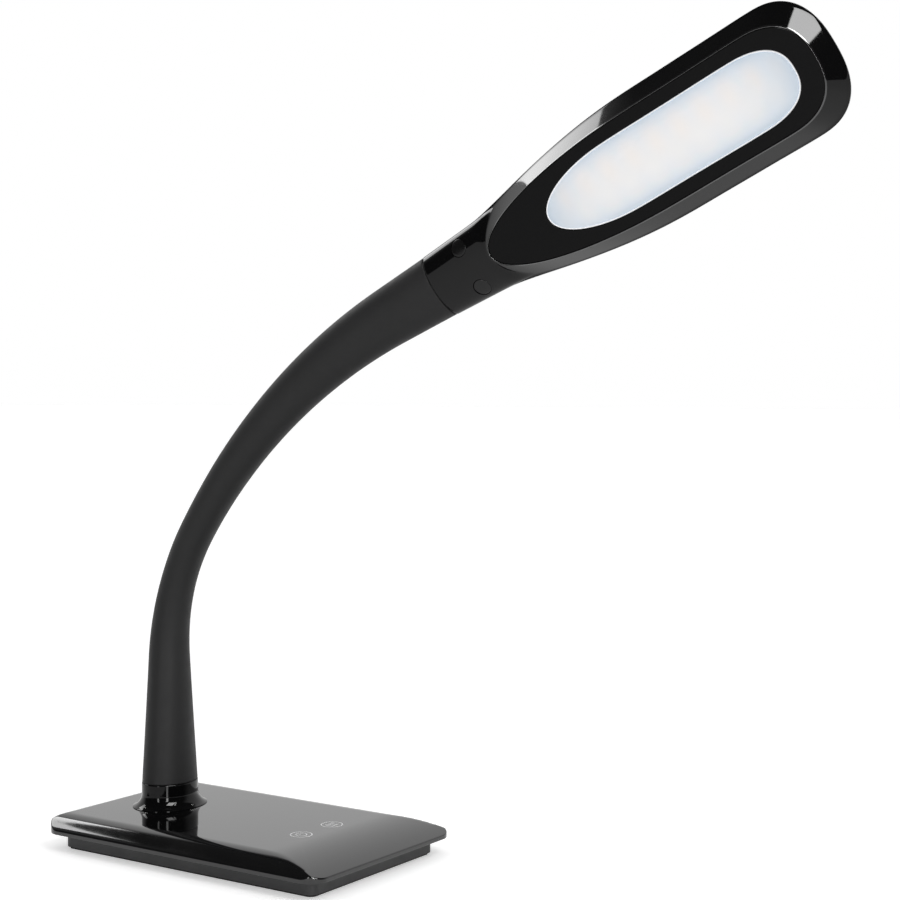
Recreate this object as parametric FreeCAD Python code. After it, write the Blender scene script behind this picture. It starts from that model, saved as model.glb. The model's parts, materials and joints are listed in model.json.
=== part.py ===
import FreeCAD, Part
import math
import os

# Gooseneck desk lamp with a touch base, in millimetres.
# +X points to the front of the base, where the touch marks are, and +Z is up.
# The origin is the centre of the base's footprint on the table.

V = FreeCAD.Vector
os.makedirs("parts", exist_ok=True)

# Base cover, the wide glossy plate
base_length = 190.0
base_width = 121.0
base_corner_radius = 10.0
cover_bottom_z = 9.1
cover_top_z = 18.4
cover_edge_height = 2.3
cover_wall = 2.3
side_roll_run = 14.0
rear_roll_run = 6.0
front_roll_run = 38.0

# Lower housing, the set-back skirt under the plate
skirt_inset = 7.8
skirt_corner_radius = 5.0
skirt_wall = 2.2
housing_floor = 2.0
flange_thickness = 1.8
mat_thickness = 1.2
mat_inset = 1.5

# Collar at the foot of the neck
neck_rear_inset = 37.6
collar_top_z = 32.0
collar_half_x = 14.0
collar_half_y = 17.5
collar_wall = 2.5
flare_radius = 7.5
flare_edge = 0.4

# Neck line: straight foot, two arcs forward, straight end
foot_straight = 69.7
first_bend_radius = 130.25
first_bend_angle = 33.15
second_bend_radius = 325.2
second_bend_angle = 31.55
end_straight = 34.4

# Neck sleeve sections, as half sizes
waist_position = 128.0
waist_half = 9.6
wrist_half_width = 16.6
wrist_half_depth = 8.8
waist_softness = 0.3
sleeve_step = 0.25
sleeve_seam_gap = 0.4
sleeve_stations = 22
section_points = 16

# The head is turned about the neck's own line, spread over this stretch
head_twist_angle = 70.0
twist_start = 90.0
twist_end = 230.0

# Gooseneck core: ball and socket segments inside the sleeve
joint_count = 8
ball_radius = 4.6
socket_clearance = 0.06
socket_wall = 1.14
socket_lip = 1.2
socket_back = 3.0
socket_cone = 5.0
ball_mouth_slope = 0.35
stem_radius = 3.1
stem_bore = 2.0
end_neck_length = 3.0
foot_tube_radius = 5.0
core_clearance = 0.35
grip_length = 20.0

# Cable through the neck
harness_radius = 1.2
harness_z = 5.3
harness_turn_radius = 4.2
harness_bend_run = 8.0

# Neck fixing inside the base
mount_plate_thickness = 2.0
mount_plate_half_x = 21.0
mount_plate_half_y = 24.5
mount_screw_x = 16.0
mount_screw_y = 19.5
mount_screw_depth = 4.0
mount_plate_corner = 4.0
foot_flange_radius = 8.0
foot_flange_thickness = 2.0
washer_thickness = 0.8
washer_radius = 8.6
nut_across_flats = 15.0
nut_thickness = 3.6
tube_tail = 0.6

# Counterweight, control board and touch springs
weight_neck_gap = 31.4
weight_front_inset = 21.0
weight_side_inset = 17.5
weight_thickness = 5.0
weight_corner_radius = 4.0
weight_screw_inset = 8.0
weight_screw_grip = 1.4
cable_slot_width = 8.0
cable_slot_end_gap = 2.0
board_weight_inset = 28.0
board_front_inset = 27.0
board_width = 46.0
board_thickness = 1.6
board_z = 11.0
board_corner_radius = 2.0
board_screw_margin = 1.0
board_screw_grip = 2.2
board_socket_x = 9.0
board_socket_length = 6.0
board_socket_width = 7.0
board_socket_height = 2.0
chip_size = 6.0
chip_height = 1.4
choke_board_x = 14.0
choke_y = 12.0
choke_radius = 3.5
choke_height = 2.2
touch_front_inset = 47.0
touch_spacing = 26.0
touch_spring_radius = 4.0
touch_spring_wire = 0.8
touch_spring_gap = 0.1

# Mains adaptor inlet on the rear wall
inlet_z = 6.0
inlet_bore_radius = 1.9
inlet_pin_radius = 0.65
inlet_pin_length = 6.0
inlet_root_radius = 1.0
inlet_body_length = 9.5
inlet_body_width = 6.6
inlet_body_height = 5.4
inlet_back_wall = 2.5
inlet_nose_wall = 0.4
inlet_cradle_wall = 2.0
inlet_cradle_inset = 1.0
inlet_face_recess = 0.3
lead_radius = 0.9
lead_lane_y = 13.0
lead_lift = 0.3
lead_start_run = 6.0
lead_rise_start = 14.0
lead_rise_end = 2.0
lead_board_x = 9.0

# Screws
screw_radius = 1.5
screw_head_radius = 2.8
screw_head_height = 1.6
base_screw_head_height = 1.2
base_screw_grip = 6.5
small_screw_radius = 1.2
small_head_radius = 2.2
small_head_height = 1.4
boss_wall = 1.8
pilot_clearance = 0.02
slide_clearance = 0.1
hole_end_gap = 0.3

# Lamp head, in its own frame: x along the head, y across, z out of the lit face
face_height = 9.0
rim_height = -1.0
back_height = -9.5
head_end_x = 229.0
head_half_width = 31.6
head_margin = 20.0
head_end_corner = 27.0
flare_start_x = 28.0
flare_end_x = 135.0
flare_rise_power = 0.7
rim_tip_x = 10.0
rim_tip_run = 18.0
corner_power = 2.5
head_wall = 2.0
wrist_step = 0.8
wrist_reach = 46.0
wrist_growth = 2.4
back_edge_inset = 1.0
back_edge_height = -4.5
back_round_inset = 4.5
back_round_height = -8.0
back_flat_inset = 11.0

# Bezel, window and light source
bezel_tip_x = 36.5
bezel_end_x = 222.0
bezel_half_width = 24.6
bezel_tip_run = 95.5
bezel_land = 0.7
bezel_thickness = 2.0
bezel_ledge = 2.2
window_tip_x = 73.4
window_end_x = 211.0
window_half_width = 17.3
window_tip_run = 44.0
window_end_corner = 27.0
diffuser_recess = 0.2
diffuser_flange = 3.0
diffuser_flange_thickness = 1.5
reflector_height = 3.5
reflector_wall = 3.0
led_board_thickness = 1.5
led_board_tip_x = 66.0
led_board_half_width = 13.0
led_board_end_x = 210.0
led_count = 9
led_size = 3.0
led_height = 0.8
led_row_offset = 5.0
led_start_inset = 9.0
led_end_inset = 8.0
spreader_thickness = 1.5
spreader_half_width = 19.5
spreader_start_x = 72.0
spreader_screw_y = 16.0
spreader_end_x = 212.0
spreader_corner = 6.0
spreader_screw_start = 20.0
spreader_screw_end_inset = 12.0
spreader_screw_grip = 4.5

# Wrist fixing
plug_x = 22.8
plug_y = 11.2
plug_radius = 4.4
plug_well_wall = 1.0
plug_well_floor = 1.5
plug_height_gap = 0.2
plug_sink = 0.15
wrist_screw_tip_z = -6.5
clamp_length = 27.0
clamp_start_x = 1.5
clamp_half_width = 5.5
clamp_half_height = 5.8
clamp_chamfer = 1.2
clamp_end_gap = 0.5
connector_gap = 4.0
connector_length = 8.0
connector_half_width = 3.0
connector_half_height = 2.0
head_lead_radius = 1.0
head_lead_level_run = 12.0
head_lead_rise_run = 10.0
head_lead_bend = 12.0

# Dependent sizes
neck_x = -base_length / 2 + neck_rear_inset
weight_rear_x = neck_x + weight_neck_gap
weight_front_x = base_length / 2 - weight_front_inset
weight_width = base_width - 2 * weight_side_inset
board_rear_x = weight_rear_x + board_weight_inset
board_length = base_length / 2 - board_front_inset - board_rear_x
choke_x = board_rear_x + choke_board_x
touch_x = base_length / 2 - touch_front_inset
housing_bottom_z = mat_thickness
housing_floor_z = housing_bottom_z + housing_floor
cover_edge_z = cover_bottom_z + cover_edge_height
ceiling_z = cover_top_z - cover_wall
mount_plate_z = ceiling_z - mount_plate_thickness
washer_z = mount_plate_z - washer_thickness
nut_z = washer_z - nut_thickness
tube_end_z = nut_z - tube_tail
board_top_z = board_z + board_thickness
socket_radius = ball_radius + socket_clearance
cup_radius = socket_radius + socket_wall
cup_length = socket_radius + socket_back
first_arc_length = math.radians(first_bend_angle) * first_bend_radius
second_arc_length = math.radians(second_bend_angle) * second_bend_radius
neck_length = foot_straight + first_arc_length + second_arc_length + end_straight
joint_pitch = (first_arc_length + second_arc_length) / (joint_count - 1)
bezel_seat_z = face_height - bezel_thickness
diffuser_flange_z = bezel_seat_z - diffuser_flange_thickness
reflector_z = diffuser_flange_z - reflector_height
led_board_z = reflector_z - led_board_thickness
spreader_z = led_board_z - spreader_thickness
bezel_end_corner = head_end_corner
connector_x = grip_length + connector_gap
base_screw_seat = housing_bottom_z + base_screw_head_height
base_screw_top = housing_floor_z + base_screw_grip
board_screw_top = board_top_z + board_screw_grip
weight_top_z = housing_floor_z + weight_thickness
harness_start_x = board_rear_x + board_socket_x + board_socket_length / 2
harness_start_z = board_z - board_socket_height
spreader_screw_tip_z = spreader_z - spreader_screw_grip
inlet_back_x = -(base_length / 2 - skirt_inset) + skirt_wall
inlet_end_x = inlet_back_x + inlet_body_length
inlet_bore_end_x = inlet_end_x - inlet_back_wall


# General helpers

def rod(start, end, radius):
    """A round bar from one point to another."""
    run = end - start
    return Part.makeCylinder(radius, run.Length, start, run)


def upright(x, y, z_low, z_high, radius):
    return Part.makeCylinder(radius, z_high - z_low, V(x, y, z_low))


def block(x_low, x_high, y_low, y_high, z_low, z_high):
    return Part.makeBox(x_high - x_low, y_high - y_low, z_high - z_low, V(x_low, y_low, z_low))


def rounded_slab(x_low, x_high, y_half, radius, z_low, z_high):
    """A flat slab with rounded corners, symmetric about the middle plane."""
    slab = block(x_low, x_high, -y_half, y_half, z_low, z_high)
    corners = [e for e in slab.Edges if abs(e.tangentAt(e.FirstParameter).z) > 0.5]
    return slab.makeFillet(radius, corners)


def save(node, shape):
    """Write one node, as a plain solid or a group of solids."""
    solids = shape.Solids
    whole = solids[0] if len(solids) == 1 else Part.makeCompound(solids)
    whole.exportStep("parts/" + node + ".step")
    print(node, len(solids), "solids", round(whole.Volume / 1000.0, 2), "cm3", whole.isValid())


def pan_screw(x, y, z_seat, depth, radius, head_radius, head_height, up):
    """A screw with its head on one side of z_seat and its shank on the other."""
    if up:
        shank = upright(x, y, z_seat, z_seat + depth, radius)
        head = upright(x, y, z_seat - head_height, z_seat, head_radius)
    else:
        shank = upright(x, y, z_seat - depth, z_seat, radius)
        head = upright(x, y, z_seat, z_seat + head_height, head_radius)
    return shank.fuse(head).removeSplitter()


# Base cover

def cover_form(inset, bottom_z):
    """The plate's outer form, or its inner form where inset is the wall."""
    half_l = base_length / 2 - inset
    half_w = base_width / 2 - inset
    top = cover_top_z - inset
    edge = cover_edge_z - inset
    low = bottom_z - 1.0
    corner = max(base_corner_radius - inset, 1.0)
    plan = rounded_slab(-half_l, half_l, half_w, corner, bottom_z, cover_top_z + 1.0)
    side = roll_profile(half_l, half_l, rear_roll_run, front_roll_run, top, edge, low, False)
    side = side.extrude(V(0, base_width, 0))
    side.translate(V(0, -base_width / 2, 0))
    across = roll_profile(half_w, half_w, side_roll_run, side_roll_run, top, edge, low, True)
    across = across.extrude(V(base_length, 0, 0))
    across.translate(V(-base_length / 2, 0, 0))
    return plan.common(side).common(across)


def roll_profile(back, front, back_run, front_run, top, edge, low, across):
    """Upright outline with a flat top that rolls down to a low edge at each end."""
    def at(u, z):
        return V(0, u, z) if across else V(u, 0, z)

    def roll(u_edge, u_flat):
        run = abs(u_flat - u_edge)
        drop = top - edge
        radius = (run * run + drop * drop) / (2 * drop)
        half = math.asin(run / radius) / 2
        toward = 1 if u_edge > u_flat else -1
        u_mid = u_flat + toward * radius * math.sin(half)
        z_mid = top - radius * (1 - math.cos(half))
        return at(u_mid, z_mid)

    rear_low = at(-back, low)
    rear_edge = at(-back, edge)
    rear_flat = at(-back + back_run, top)
    front_flat = at(front - front_run, top)
    front_edge = at(front, edge)
    front_low = at(front, low)
    edges = [
        Part.LineSegment(rear_low, rear_edge).toShape(),
        Part.Arc(rear_edge, roll(-back, -back + back_run), rear_flat).toShape(),
        Part.LineSegment(rear_flat, front_flat).toShape(),
        Part.Arc(front_flat, roll(front, front - front_run), front_edge).toShape(),
        Part.LineSegment(front_edge, front_low).toShape(),
        Part.LineSegment(front_low, rear_low).toShape(),
    ]
    return Part.Face(Part.Wire(edges))


def oval(half_x, half_y, z):
    """An upright-axis oval wire about the neck's foot."""
    points = []
    for i in range(section_points):
        a = 2 * math.pi * i / section_points
        points.append(V(neck_x + half_x * math.cos(a), half_y * math.sin(a), z))
    curve = Part.BSplineCurve()
    curve.interpolate(Points=points, PeriodicFlag=True)
    return Part.Wire(curve.toShape())


def collar_form():
    """The flared collar, from inside the plate to the neck seam."""
    reach = flare_radius - math.sqrt(flare_radius ** 2 - (flare_radius - flare_edge) ** 2)
    wires = [oval(collar_half_x + reach, collar_half_y + reach, cover_top_z - cover_wall / 2)]
    for share in (0.0, 0.12, 0.3, 0.6, 1.0):
        h = flare_edge + share * (flare_radius - flare_edge)
        out = flare_radius - math.sqrt(flare_radius ** 2 - (flare_radius - h) ** 2)
        wires.append(oval(collar_half_x + out, collar_half_y + out, cover_top_z + h))
    wires.append(oval(collar_half_x, collar_half_y, collar_top_z))
    foot = Part.makeLoft(wires[:2], True, True)
    flare = Part.makeLoft(wires[1:], True, False)
    return foot.fuse(flare)


def base_boss_places():
    x = base_length / 2 - skirt_inset - skirt_wall - boss_wall - screw_radius
    y = base_width / 2 - skirt_inset - skirt_wall - boss_wall - screw_radius
    return [(sx * x, sy * y) for sx in (-1, 1) for sy in (-1, 1)]


def mount_screw_places():
    return [(neck_x - mount_screw_x, 0), (neck_x + mount_screw_x, 0),
            (neck_x, -mount_screw_y), (neck_x, mount_screw_y)]


def board_screw_places():
    inset = small_head_radius + board_screw_margin
    x_low = board_rear_x + inset
    x_high = board_rear_x + board_length - inset
    y = board_width / 2 - inset
    return [(x, sy * y) for x in (x_low, x_high) for sy in (-1, 1)]


def top_cover():
    outer = cover_form(0.0, cover_bottom_z)
    shell = outer.cut(cover_form(cover_wall, cover_bottom_z - 2.0))
    shell = shell.fuse(collar_form())
    for x, y in base_boss_places():
        post = upright(x, y, housing_floor_z, cover_top_z, screw_radius + boss_wall)
        shell = shell.fuse(post.common(outer_column()))
    for x, y in board_screw_places():
        post = upright(x, y, board_top_z, cover_top_z, small_screw_radius + boss_wall)
        shell = shell.fuse(post.common(outer))
    bore = Part.makeLoft([
        oval(collar_half_x - collar_wall, collar_half_y - collar_wall, ceiling_z - 1.0),
        oval(collar_half_x - collar_wall, collar_half_y - collar_wall, collar_top_z + 1.0),
    ], True, True)
    shell = shell.cut(bore)
    hole = screw_radius + pilot_clearance
    for x, y in base_boss_places():
        shell = shell.cut(upright(x, y, housing_floor_z - 1.0, base_screw_top + hole_end_gap, hole))
    hole = small_screw_radius + pilot_clearance
    for x, y in board_screw_places():
        shell = shell.cut(upright(x, y, board_top_z - 1.0, board_screw_top + hole_end_gap, hole))
    for x, y in mount_screw_places():
        hole_top = ceiling_z + mount_screw_depth + hole_end_gap
        shell = shell.cut(upright(x, y, ceiling_z - 1.0, hole_top, hole))
    return shell.removeSplitter()


def outer_column():
    """The plate's form carried down to the housing floor, for the screw posts."""
    return cover_form(cover_wall / 2, housing_floor_z)


# Lower housing, mat and screws

def skirt_slab(extra, z_low, z_high):
    inset = skirt_inset + extra
    radius = max(skirt_corner_radius - extra, 1.0)
    half_l = base_length / 2 - inset
    return rounded_slab(-half_l, half_l, base_width / 2 - inset, radius, z_low, z_high)


def lower_housing():
    tray = skirt_slab(0.0, housing_bottom_z, cover_bottom_z)
    edge = cover_wall + slide_clearance
    half_l = base_length / 2 - edge
    corner = base_corner_radius - edge
    flange_top = cover_bottom_z + flange_thickness
    flange = rounded_slab(-half_l, half_l, base_width / 2 - edge, corner, cover_bottom_z, flange_top)
    # the flange follows the cover's inner roll, so its top edge is trimmed to that form
    flange = flange.common(cover_form(edge, cover_bottom_z - 0.5))
    tray = tray.fuse(flange)
    tray = tray.cut(skirt_slab(skirt_wall, housing_floor_z, flange_top + 1.0))
    for x, y in base_boss_places():
        tray = tray.cut(upright(x, y, 0.0, housing_floor_z + 1.0, screw_radius + slide_clearance))
        tray = tray.cut(upright(x, y, 0.0, base_screw_seat, screw_head_radius + slide_clearance))
    opening = inlet_bore_radius + inlet_nose_wall + slide_clearance
    end = V(inlet_back_x + 1.0, 0, inlet_z)
    tray = tray.cut(rod(end - V(skirt_wall + 2.0, 0, 0), end, opening))
    for x, y in weight_screw_places():
        tray = tray.cut(upright(x, y, housing_floor_z - weight_screw_grip, housing_floor_z + 1.0,
                                small_screw_radius + pilot_clearance))
    return tray.removeSplitter()


def foot_mat():
    return skirt_slab(mat_inset, 0.0, mat_thickness)


def base_screws():
    depth = base_screw_top - base_screw_seat
    return Part.makeCompound([
        pan_screw(x, y, base_screw_seat, depth, screw_radius, screw_head_radius,
                  base_screw_head_height, True)
        for x, y in base_boss_places()
    ])


# Counterweight

def weight_screw_places():
    x_low = weight_rear_x + weight_screw_inset
    x_high = weight_front_x - weight_screw_inset
    y = weight_width / 2 - weight_screw_inset
    return [(x_low, -y), (x_low, y), (x_high, -y), (x_high, y)]


def counterweight():
    plate = rounded_slab(weight_rear_x, weight_front_x, weight_width / 2,
                         weight_corner_radius, housing_floor_z, weight_top_z)
    slot_end = harness_start_x + cable_slot_end_gap
    slot = block(weight_rear_x - 1.0, slot_end, -cable_slot_width / 2, cable_slot_width / 2,
                 housing_floor_z - 1.0, weight_top_z + 1.0)
    plate = plate.cut(slot)
    for x, y in weight_screw_places():
        plate = plate.cut(upright(x, y, housing_floor_z - 1.0, weight_top_z + 1.0,
                                  small_screw_radius + slide_clearance))
    return plate


def weight_screws():
    depth = weight_thickness + weight_screw_grip - hole_end_gap
    return Part.makeCompound([
        pan_screw(x, y, weight_top_z, depth, small_screw_radius, small_head_radius,
                  small_head_height, False)
        for x, y in weight_screw_places()
    ])


# Control board

def control_board():
    board = rounded_slab(board_rear_x, board_rear_x + board_length, board_width / 2,
                         board_corner_radius, board_z, board_top_z)
    for x, y in board_screw_places():
        board = board.cut(upright(x, y, board_z - 1.0, board_top_z + 1.0,
                                  small_screw_radius + slide_clearance))
    return board


def board_screws():
    depth = board_screw_top - board_z
    return Part.makeCompound([
        pan_screw(x, y, board_z, depth, small_screw_radius, small_head_radius,
                  small_head_height, True)
        for x, y in board_screw_places()
    ])


def board_connector():
    """Socket under the board where the neck cable plugs in."""
    x = harness_start_x
    half_l = board_socket_length / 2
    half_w = board_socket_width / 2
    return block(x - half_l, x + half_l, -half_w, half_w, harness_start_z, board_z)


def touch_chip():
    x = board_rear_x + board_length / 2
    half = chip_size / 2
    return block(x - chip_size, x, -half, half, board_top_z, board_top_z + chip_height)


def power_choke():
    return upright(choke_x, choke_y, board_top_z, board_top_z + choke_height, choke_radius)


def touch_spring(y):
    """A contact spring under one touch mark, as a short sleeve."""
    top = ceiling_z - touch_spring_gap
    outer = upright(touch_x, y, board_top_z, top, touch_spring_radius)
    inner = upright(touch_x, y, board_top_z - 1.0, top + 1.0, touch_spring_radius - touch_spring_wire)
    return outer.cut(inner)


# Mains adaptor inlet

def dc_inlet_body():
    half_h = inlet_body_height / 2
    body = block(inlet_back_x, inlet_end_x, -inlet_body_width / 2, inlet_body_width / 2,
                 inlet_z - half_h, inlet_z + half_h)
    nose_start = V(inlet_back_x - skirt_wall + inlet_face_recess, 0, inlet_z)
    nose_end = V(inlet_back_x + inlet_face_recess, 0, inlet_z)
    body = body.fuse(rod(nose_start, nose_end, inlet_bore_radius + inlet_nose_wall))
    bore_start = nose_start - V(1, 0, 0)
    body = body.cut(rod(bore_start, V(inlet_bore_end_x, 0, inlet_z), inlet_bore_radius))
    pin_hole = rod(V(inlet_bore_end_x - 1.0, 0, inlet_z), V(inlet_end_x + 1.0, 0, inlet_z),
                   inlet_root_radius + pilot_clearance)
    return body.cut(pin_hole).removeSplitter()


def dc_inlet_pin():
    """Contact pin on a thicker root that sits in the inlet's back wall."""
    tip = V(inlet_bore_end_x - inlet_pin_length, 0, inlet_z)
    shoulder = V(inlet_bore_end_x, 0, inlet_z)
    root = rod(shoulder, V(inlet_end_x, 0, inlet_z), inlet_root_radius)
    return rod(tip, shoulder, inlet_pin_radius).fuse(root)


def inlet_cradle():
    """Saddle on the housing floor that carries the inlet."""
    half_w = inlet_body_width / 2
    outer_w = half_w + inlet_cradle_wall
    low = inlet_z - inlet_body_height / 2
    high = low + inlet_cradle_wall
    base = block(inlet_back_x + inlet_cradle_inset, inlet_end_x - inlet_cradle_inset,
                 -outer_w, outer_w, housing_floor_z, high)
    pocket = block(inlet_back_x, inlet_end_x, -half_w - slide_clearance,
                   half_w + slide_clearance, low, high + 1.0)
    return base.cut(pocket)


def path_wire(points, radii):
    """Straight runs joined by tangent arcs, one radius for each inner point."""
    edges = []
    start = points[0]
    length = 0.0
    for i in range(1, len(points) - 1):
        before = (points[i] - points[i - 1]).normalize()
        after = (points[i + 1] - points[i]).normalize()
        turn = before.getAngle(after)
        back = radii[i - 1] * math.tan(turn / 2)
        arc_start = points[i] - before * back
        arc_end = points[i] + after * back
        inward = (after - before).normalize()
        middle = points[i] + inward * (radii[i - 1] / math.cos(turn / 2) - radii[i - 1])
        edges.append(Part.LineSegment(start, arc_start).toShape())
        edges.append(Part.Arc(arc_start, middle, arc_end).toShape())
        length += (arc_start - start).Length + radii[i - 1] * turn
        start = arc_end
    edges.append(Part.LineSegment(start, points[-1]).toShape())
    length += (points[-1] - start).Length
    return Part.Wire(edges), length


def cable(points, radii, radius, name):
    wire, length = path_wire(points, radii)
    ring = Part.Wire(Part.makeCircle(radius, points[0], points[1] - points[0]))
    solid = wire.makePipeShell([ring], True, False)
    share = solid.Volume / (math.pi * radius * radius * length)
    print(name, "length", round(length, 1), "radii", [round(r, 1) for r in radii],
          "volume share", round(share, 4))
    return solid


def power_lead():
    """Lead from the inlet to the control board, beside the neck's foot."""
    level = weight_top_z + lead_radius + lead_lift
    end_x = board_rear_x + lead_board_x
    points = [
        V(inlet_end_x, 0, inlet_z),
        V(inlet_end_x + lead_start_run, 0, inlet_z),
        V(neck_x, lead_lane_y, inlet_z),
        V(weight_rear_x - lead_rise_start, lead_lane_y, inlet_z),
        V(weight_rear_x - lead_rise_end, lead_lane_y, level),
        V(end_x, lead_lane_y, level),
        V(end_x, lead_lane_y, board_z),
    ]
    radii = [4.0, 8.0, 12.0, 8.0, 0.8]
    return cable(points, radii, lead_radius, "power_lead")


# Neck line and frames

def neck_at(s):
    """Point on the neck line and its rise angle, s millimetres above the collar."""
    if s <= foot_straight:
        return V(neck_x, 0, collar_top_z + s), math.pi / 2
    angle = min(s - foot_straight, first_arc_length) / first_bend_radius
    centre_x = neck_x + first_bend_radius
    centre_z = collar_top_z + foot_straight
    x = centre_x - first_bend_radius * math.cos(angle)
    z = centre_z + first_bend_radius * math.sin(angle)
    s -= foot_straight + first_arc_length
    if s <= 0:
        return V(x, 0, z), math.pi / 2 - angle
    more = min(s, second_arc_length) / second_bend_radius
    x += second_bend_radius * (math.cos(angle) - math.cos(angle + more))
    z += second_bend_radius * (math.sin(angle + more) - math.sin(angle))
    rise = math.pi / 2 - angle - more
    s -= second_arc_length
    if s > 0:
        x += s * math.cos(rise)
        z += s * math.sin(rise)
    return V(x, 0, z), rise


def smooth(t):
    t = min(max(t, 0.0), 1.0)
    return t * t * (3 - 2 * t)


def neck_turn(s):
    """How far the neck has turned about its own line at s."""
    return math.radians(head_twist_angle) * smooth((s - twist_start) / (twist_end - twist_start))


def neck_frame(s):
    """Point, direction, width axis and face axis of the neck at s."""
    point, rise = neck_at(s)
    along = V(math.cos(rise), 0, math.sin(rise))
    down = V(math.sin(rise), 0, -math.cos(rise))
    turn = neck_turn(s)
    face = down * math.cos(turn) - V(0, 1, 0) * math.sin(turn)
    width = face.cross(along)
    return point, along, width, face


def waist_rise(t):
    full = math.sqrt(1 + waist_softness ** 2) - waist_softness
    return (math.sqrt(t * t + waist_softness ** 2) - waist_softness) / full


def sleeve_halves(s):
    """Half width and half depth of the sleeve at s."""
    if s < waist_position:
        share = waist_rise((waist_position - s) / waist_position)
        end_width = collar_half_y - sleeve_step
        end_depth = collar_half_x - sleeve_step
    else:
        share = waist_rise((s - waist_position) / (neck_length - waist_position))
        end_width = wrist_half_width - sleeve_step
        end_depth = wrist_half_depth - sleeve_step
    return (waist_half + (end_width - waist_half) * share,
            waist_half + (end_depth - waist_half) * share)


def joint_centre(i):
    return neck_at(foot_straight + i * joint_pitch)[0]


def sleeve_section(s):
    point, along, width, face = neck_frame(s)
    half_w, half_d = sleeve_halves(s)
    points = []
    for i in range(section_points):
        # the points keep their places round the neck while the oval turns
        a = 2 * math.pi * i / section_points + neck_turn(s)
        points.append(point + width * (half_w * math.cos(a)) + face * (half_d * math.sin(a)))
    curve = Part.BSplineCurve()
    curve.interpolate(Points=points, PeriodicFlag=True)
    return Part.Wire(curve.toShape())


def core_line():
    """Foot of the tube, each joint centre, and the end in the wrist."""
    points = [V(neck_x, 0, tube_end_z)]
    points += [joint_centre(i) for i in range(joint_count)]
    points.append(head_point(grip_length, 0, 0))
    return points


def sleeve_bore(s):
    """Bore radius that clears the sockets, which lie on straight lines inside a curved sleeve."""
    tight = cup_length * (joint_pitch - cup_length) / (2 * first_bend_radius)
    wide = cup_length * (joint_pitch - cup_length) / (2 * second_bend_radius)
    share = smooth((s - foot_straight - first_arc_length) / joint_pitch)
    return cup_radius + core_clearance + tight + (wide - tight) * share


def neck_sleeve():
    last = neck_length - sleeve_seam_gap
    step = last / sleeve_stations
    body = Part.makeLoft([sleeve_section(i * step) for i in range(sleeve_stations + 1)], True, False)
    rings = []
    for i in range(-1, sleeve_stations + 2):
        point, along, width, face = neck_frame(i * step)
        rings.append(Part.Wire(Part.makeCircle(sleeve_bore(i * step), point, along)))
    return body.cut(Part.makeLoft(rings, True, False))


def gooseneck_segment(i):
    """One segment of the bendable core: ball at its lower end, socket at its upper end."""
    points = core_line()
    start = points[i]
    end = points[i + 1]
    along = (end - start).normalize()
    first = i == 0
    last = i == joint_count
    radius = foot_tube_radius if first or last else stem_radius
    body_start = start if first else start + along * (ball_radius * 0.5)
    body = rod(body_start, end, stem_radius if not first else radius)
    if last:
        neck_free = ball_radius + socket_lip + end_neck_length
        body = body.fuse(rod(start + along * neck_free, end, radius - slide_clearance))
    if first:
        flange = upright(neck_x, 0, ceiling_z, ceiling_z + foot_flange_thickness, foot_flange_radius)
        body = body.fuse(flange)
    else:
        body = body.fuse(Part.makeSphere(ball_radius, start))
    if not last:
        cup_start = end - along * cup_length
        cone_start = cup_start - along * socket_cone
        body = body.fuse(Part.makeCone(radius, cup_radius, socket_cone, cone_start, along))
        body = body.fuse(rod(cup_start, end + along * socket_lip, cup_radius))
        body = body.cut(Part.makeSphere(socket_radius, end))
    reach = ball_radius + 2.0
    body = body.cut(rod(start - along * reach, end + along * reach, stem_bore))
    if not first:
        # the ball's mouth flares so the cable can turn at the joint
        mouth = stem_bore + ball_mouth_slope * reach
        body = body.cut(Part.makeCone(stem_bore, mouth, reach, start, -along))
    return body.removeSplitter()


def neck_harness():
    """The cable from the board, through the whole neck, to the head."""
    points = [V(harness_start_x, 0, harness_start_z), V(harness_start_x, 0, harness_z),
              V(neck_x, 0, harness_z)]
    points += [joint_centre(i) for i in range(joint_count)]
    points.append(head_point(connector_x, 0, 0))
    radii = [2.0, harness_turn_radius]
    for i in range(3, len(points) - 1):
        before = points[i] - points[i - 1]
        after = points[i + 1] - points[i]
        radii.append(harness_bend_run / math.tan(before.getAngle(after) / 2))
    return cable(points, radii, harness_radius, "neck_harness")


# Neck fixing

def mount_plate():
    slab = rounded_slab(-mount_plate_half_x, mount_plate_half_x, mount_plate_half_y,
                        mount_plate_corner, mount_plate_z, ceiling_z)
    slab.translate(V(neck_x, 0, 0))
    slab = slab.cut(upright(neck_x, 0, mount_plate_z - 1, ceiling_z + 1,
                            foot_tube_radius + slide_clearance))
    for x, y in mount_screw_places():
        slab = slab.cut(upright(x, y, mount_plate_z - 1, ceiling_z + 1,
                                small_screw_radius + slide_clearance))
    return slab


def mount_screws():
    depth = mount_plate_thickness + mount_screw_depth
    return Part.makeCompound([
        pan_screw(x, y, mount_plate_z, depth, small_screw_radius, small_head_radius,
                  small_head_height, True)
        for x, y in mount_screw_places()
    ])


def lock_washer():
    ring = upright(neck_x, 0, washer_z, mount_plate_z, washer_radius)
    return ring.cut(upright(neck_x, 0, washer_z - 1, mount_plate_z + 1,
                            foot_tube_radius + slide_clearance))


def lock_nut():
    corner = nut_across_flats / 2 / math.cos(math.pi / 6)
    points = []
    for i in range(7):
        a = math.pi / 3 * i
        points.append(V(neck_x + corner * math.cos(a), corner * math.sin(a), nut_z))
    nut = Part.Face(Part.makePolygon(points)).extrude(V(0, 0, nut_thickness))
    return nut.cut(upright(neck_x, 0, nut_z - 1, washer_z + 1, foot_tube_radius + pilot_clearance))


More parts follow.
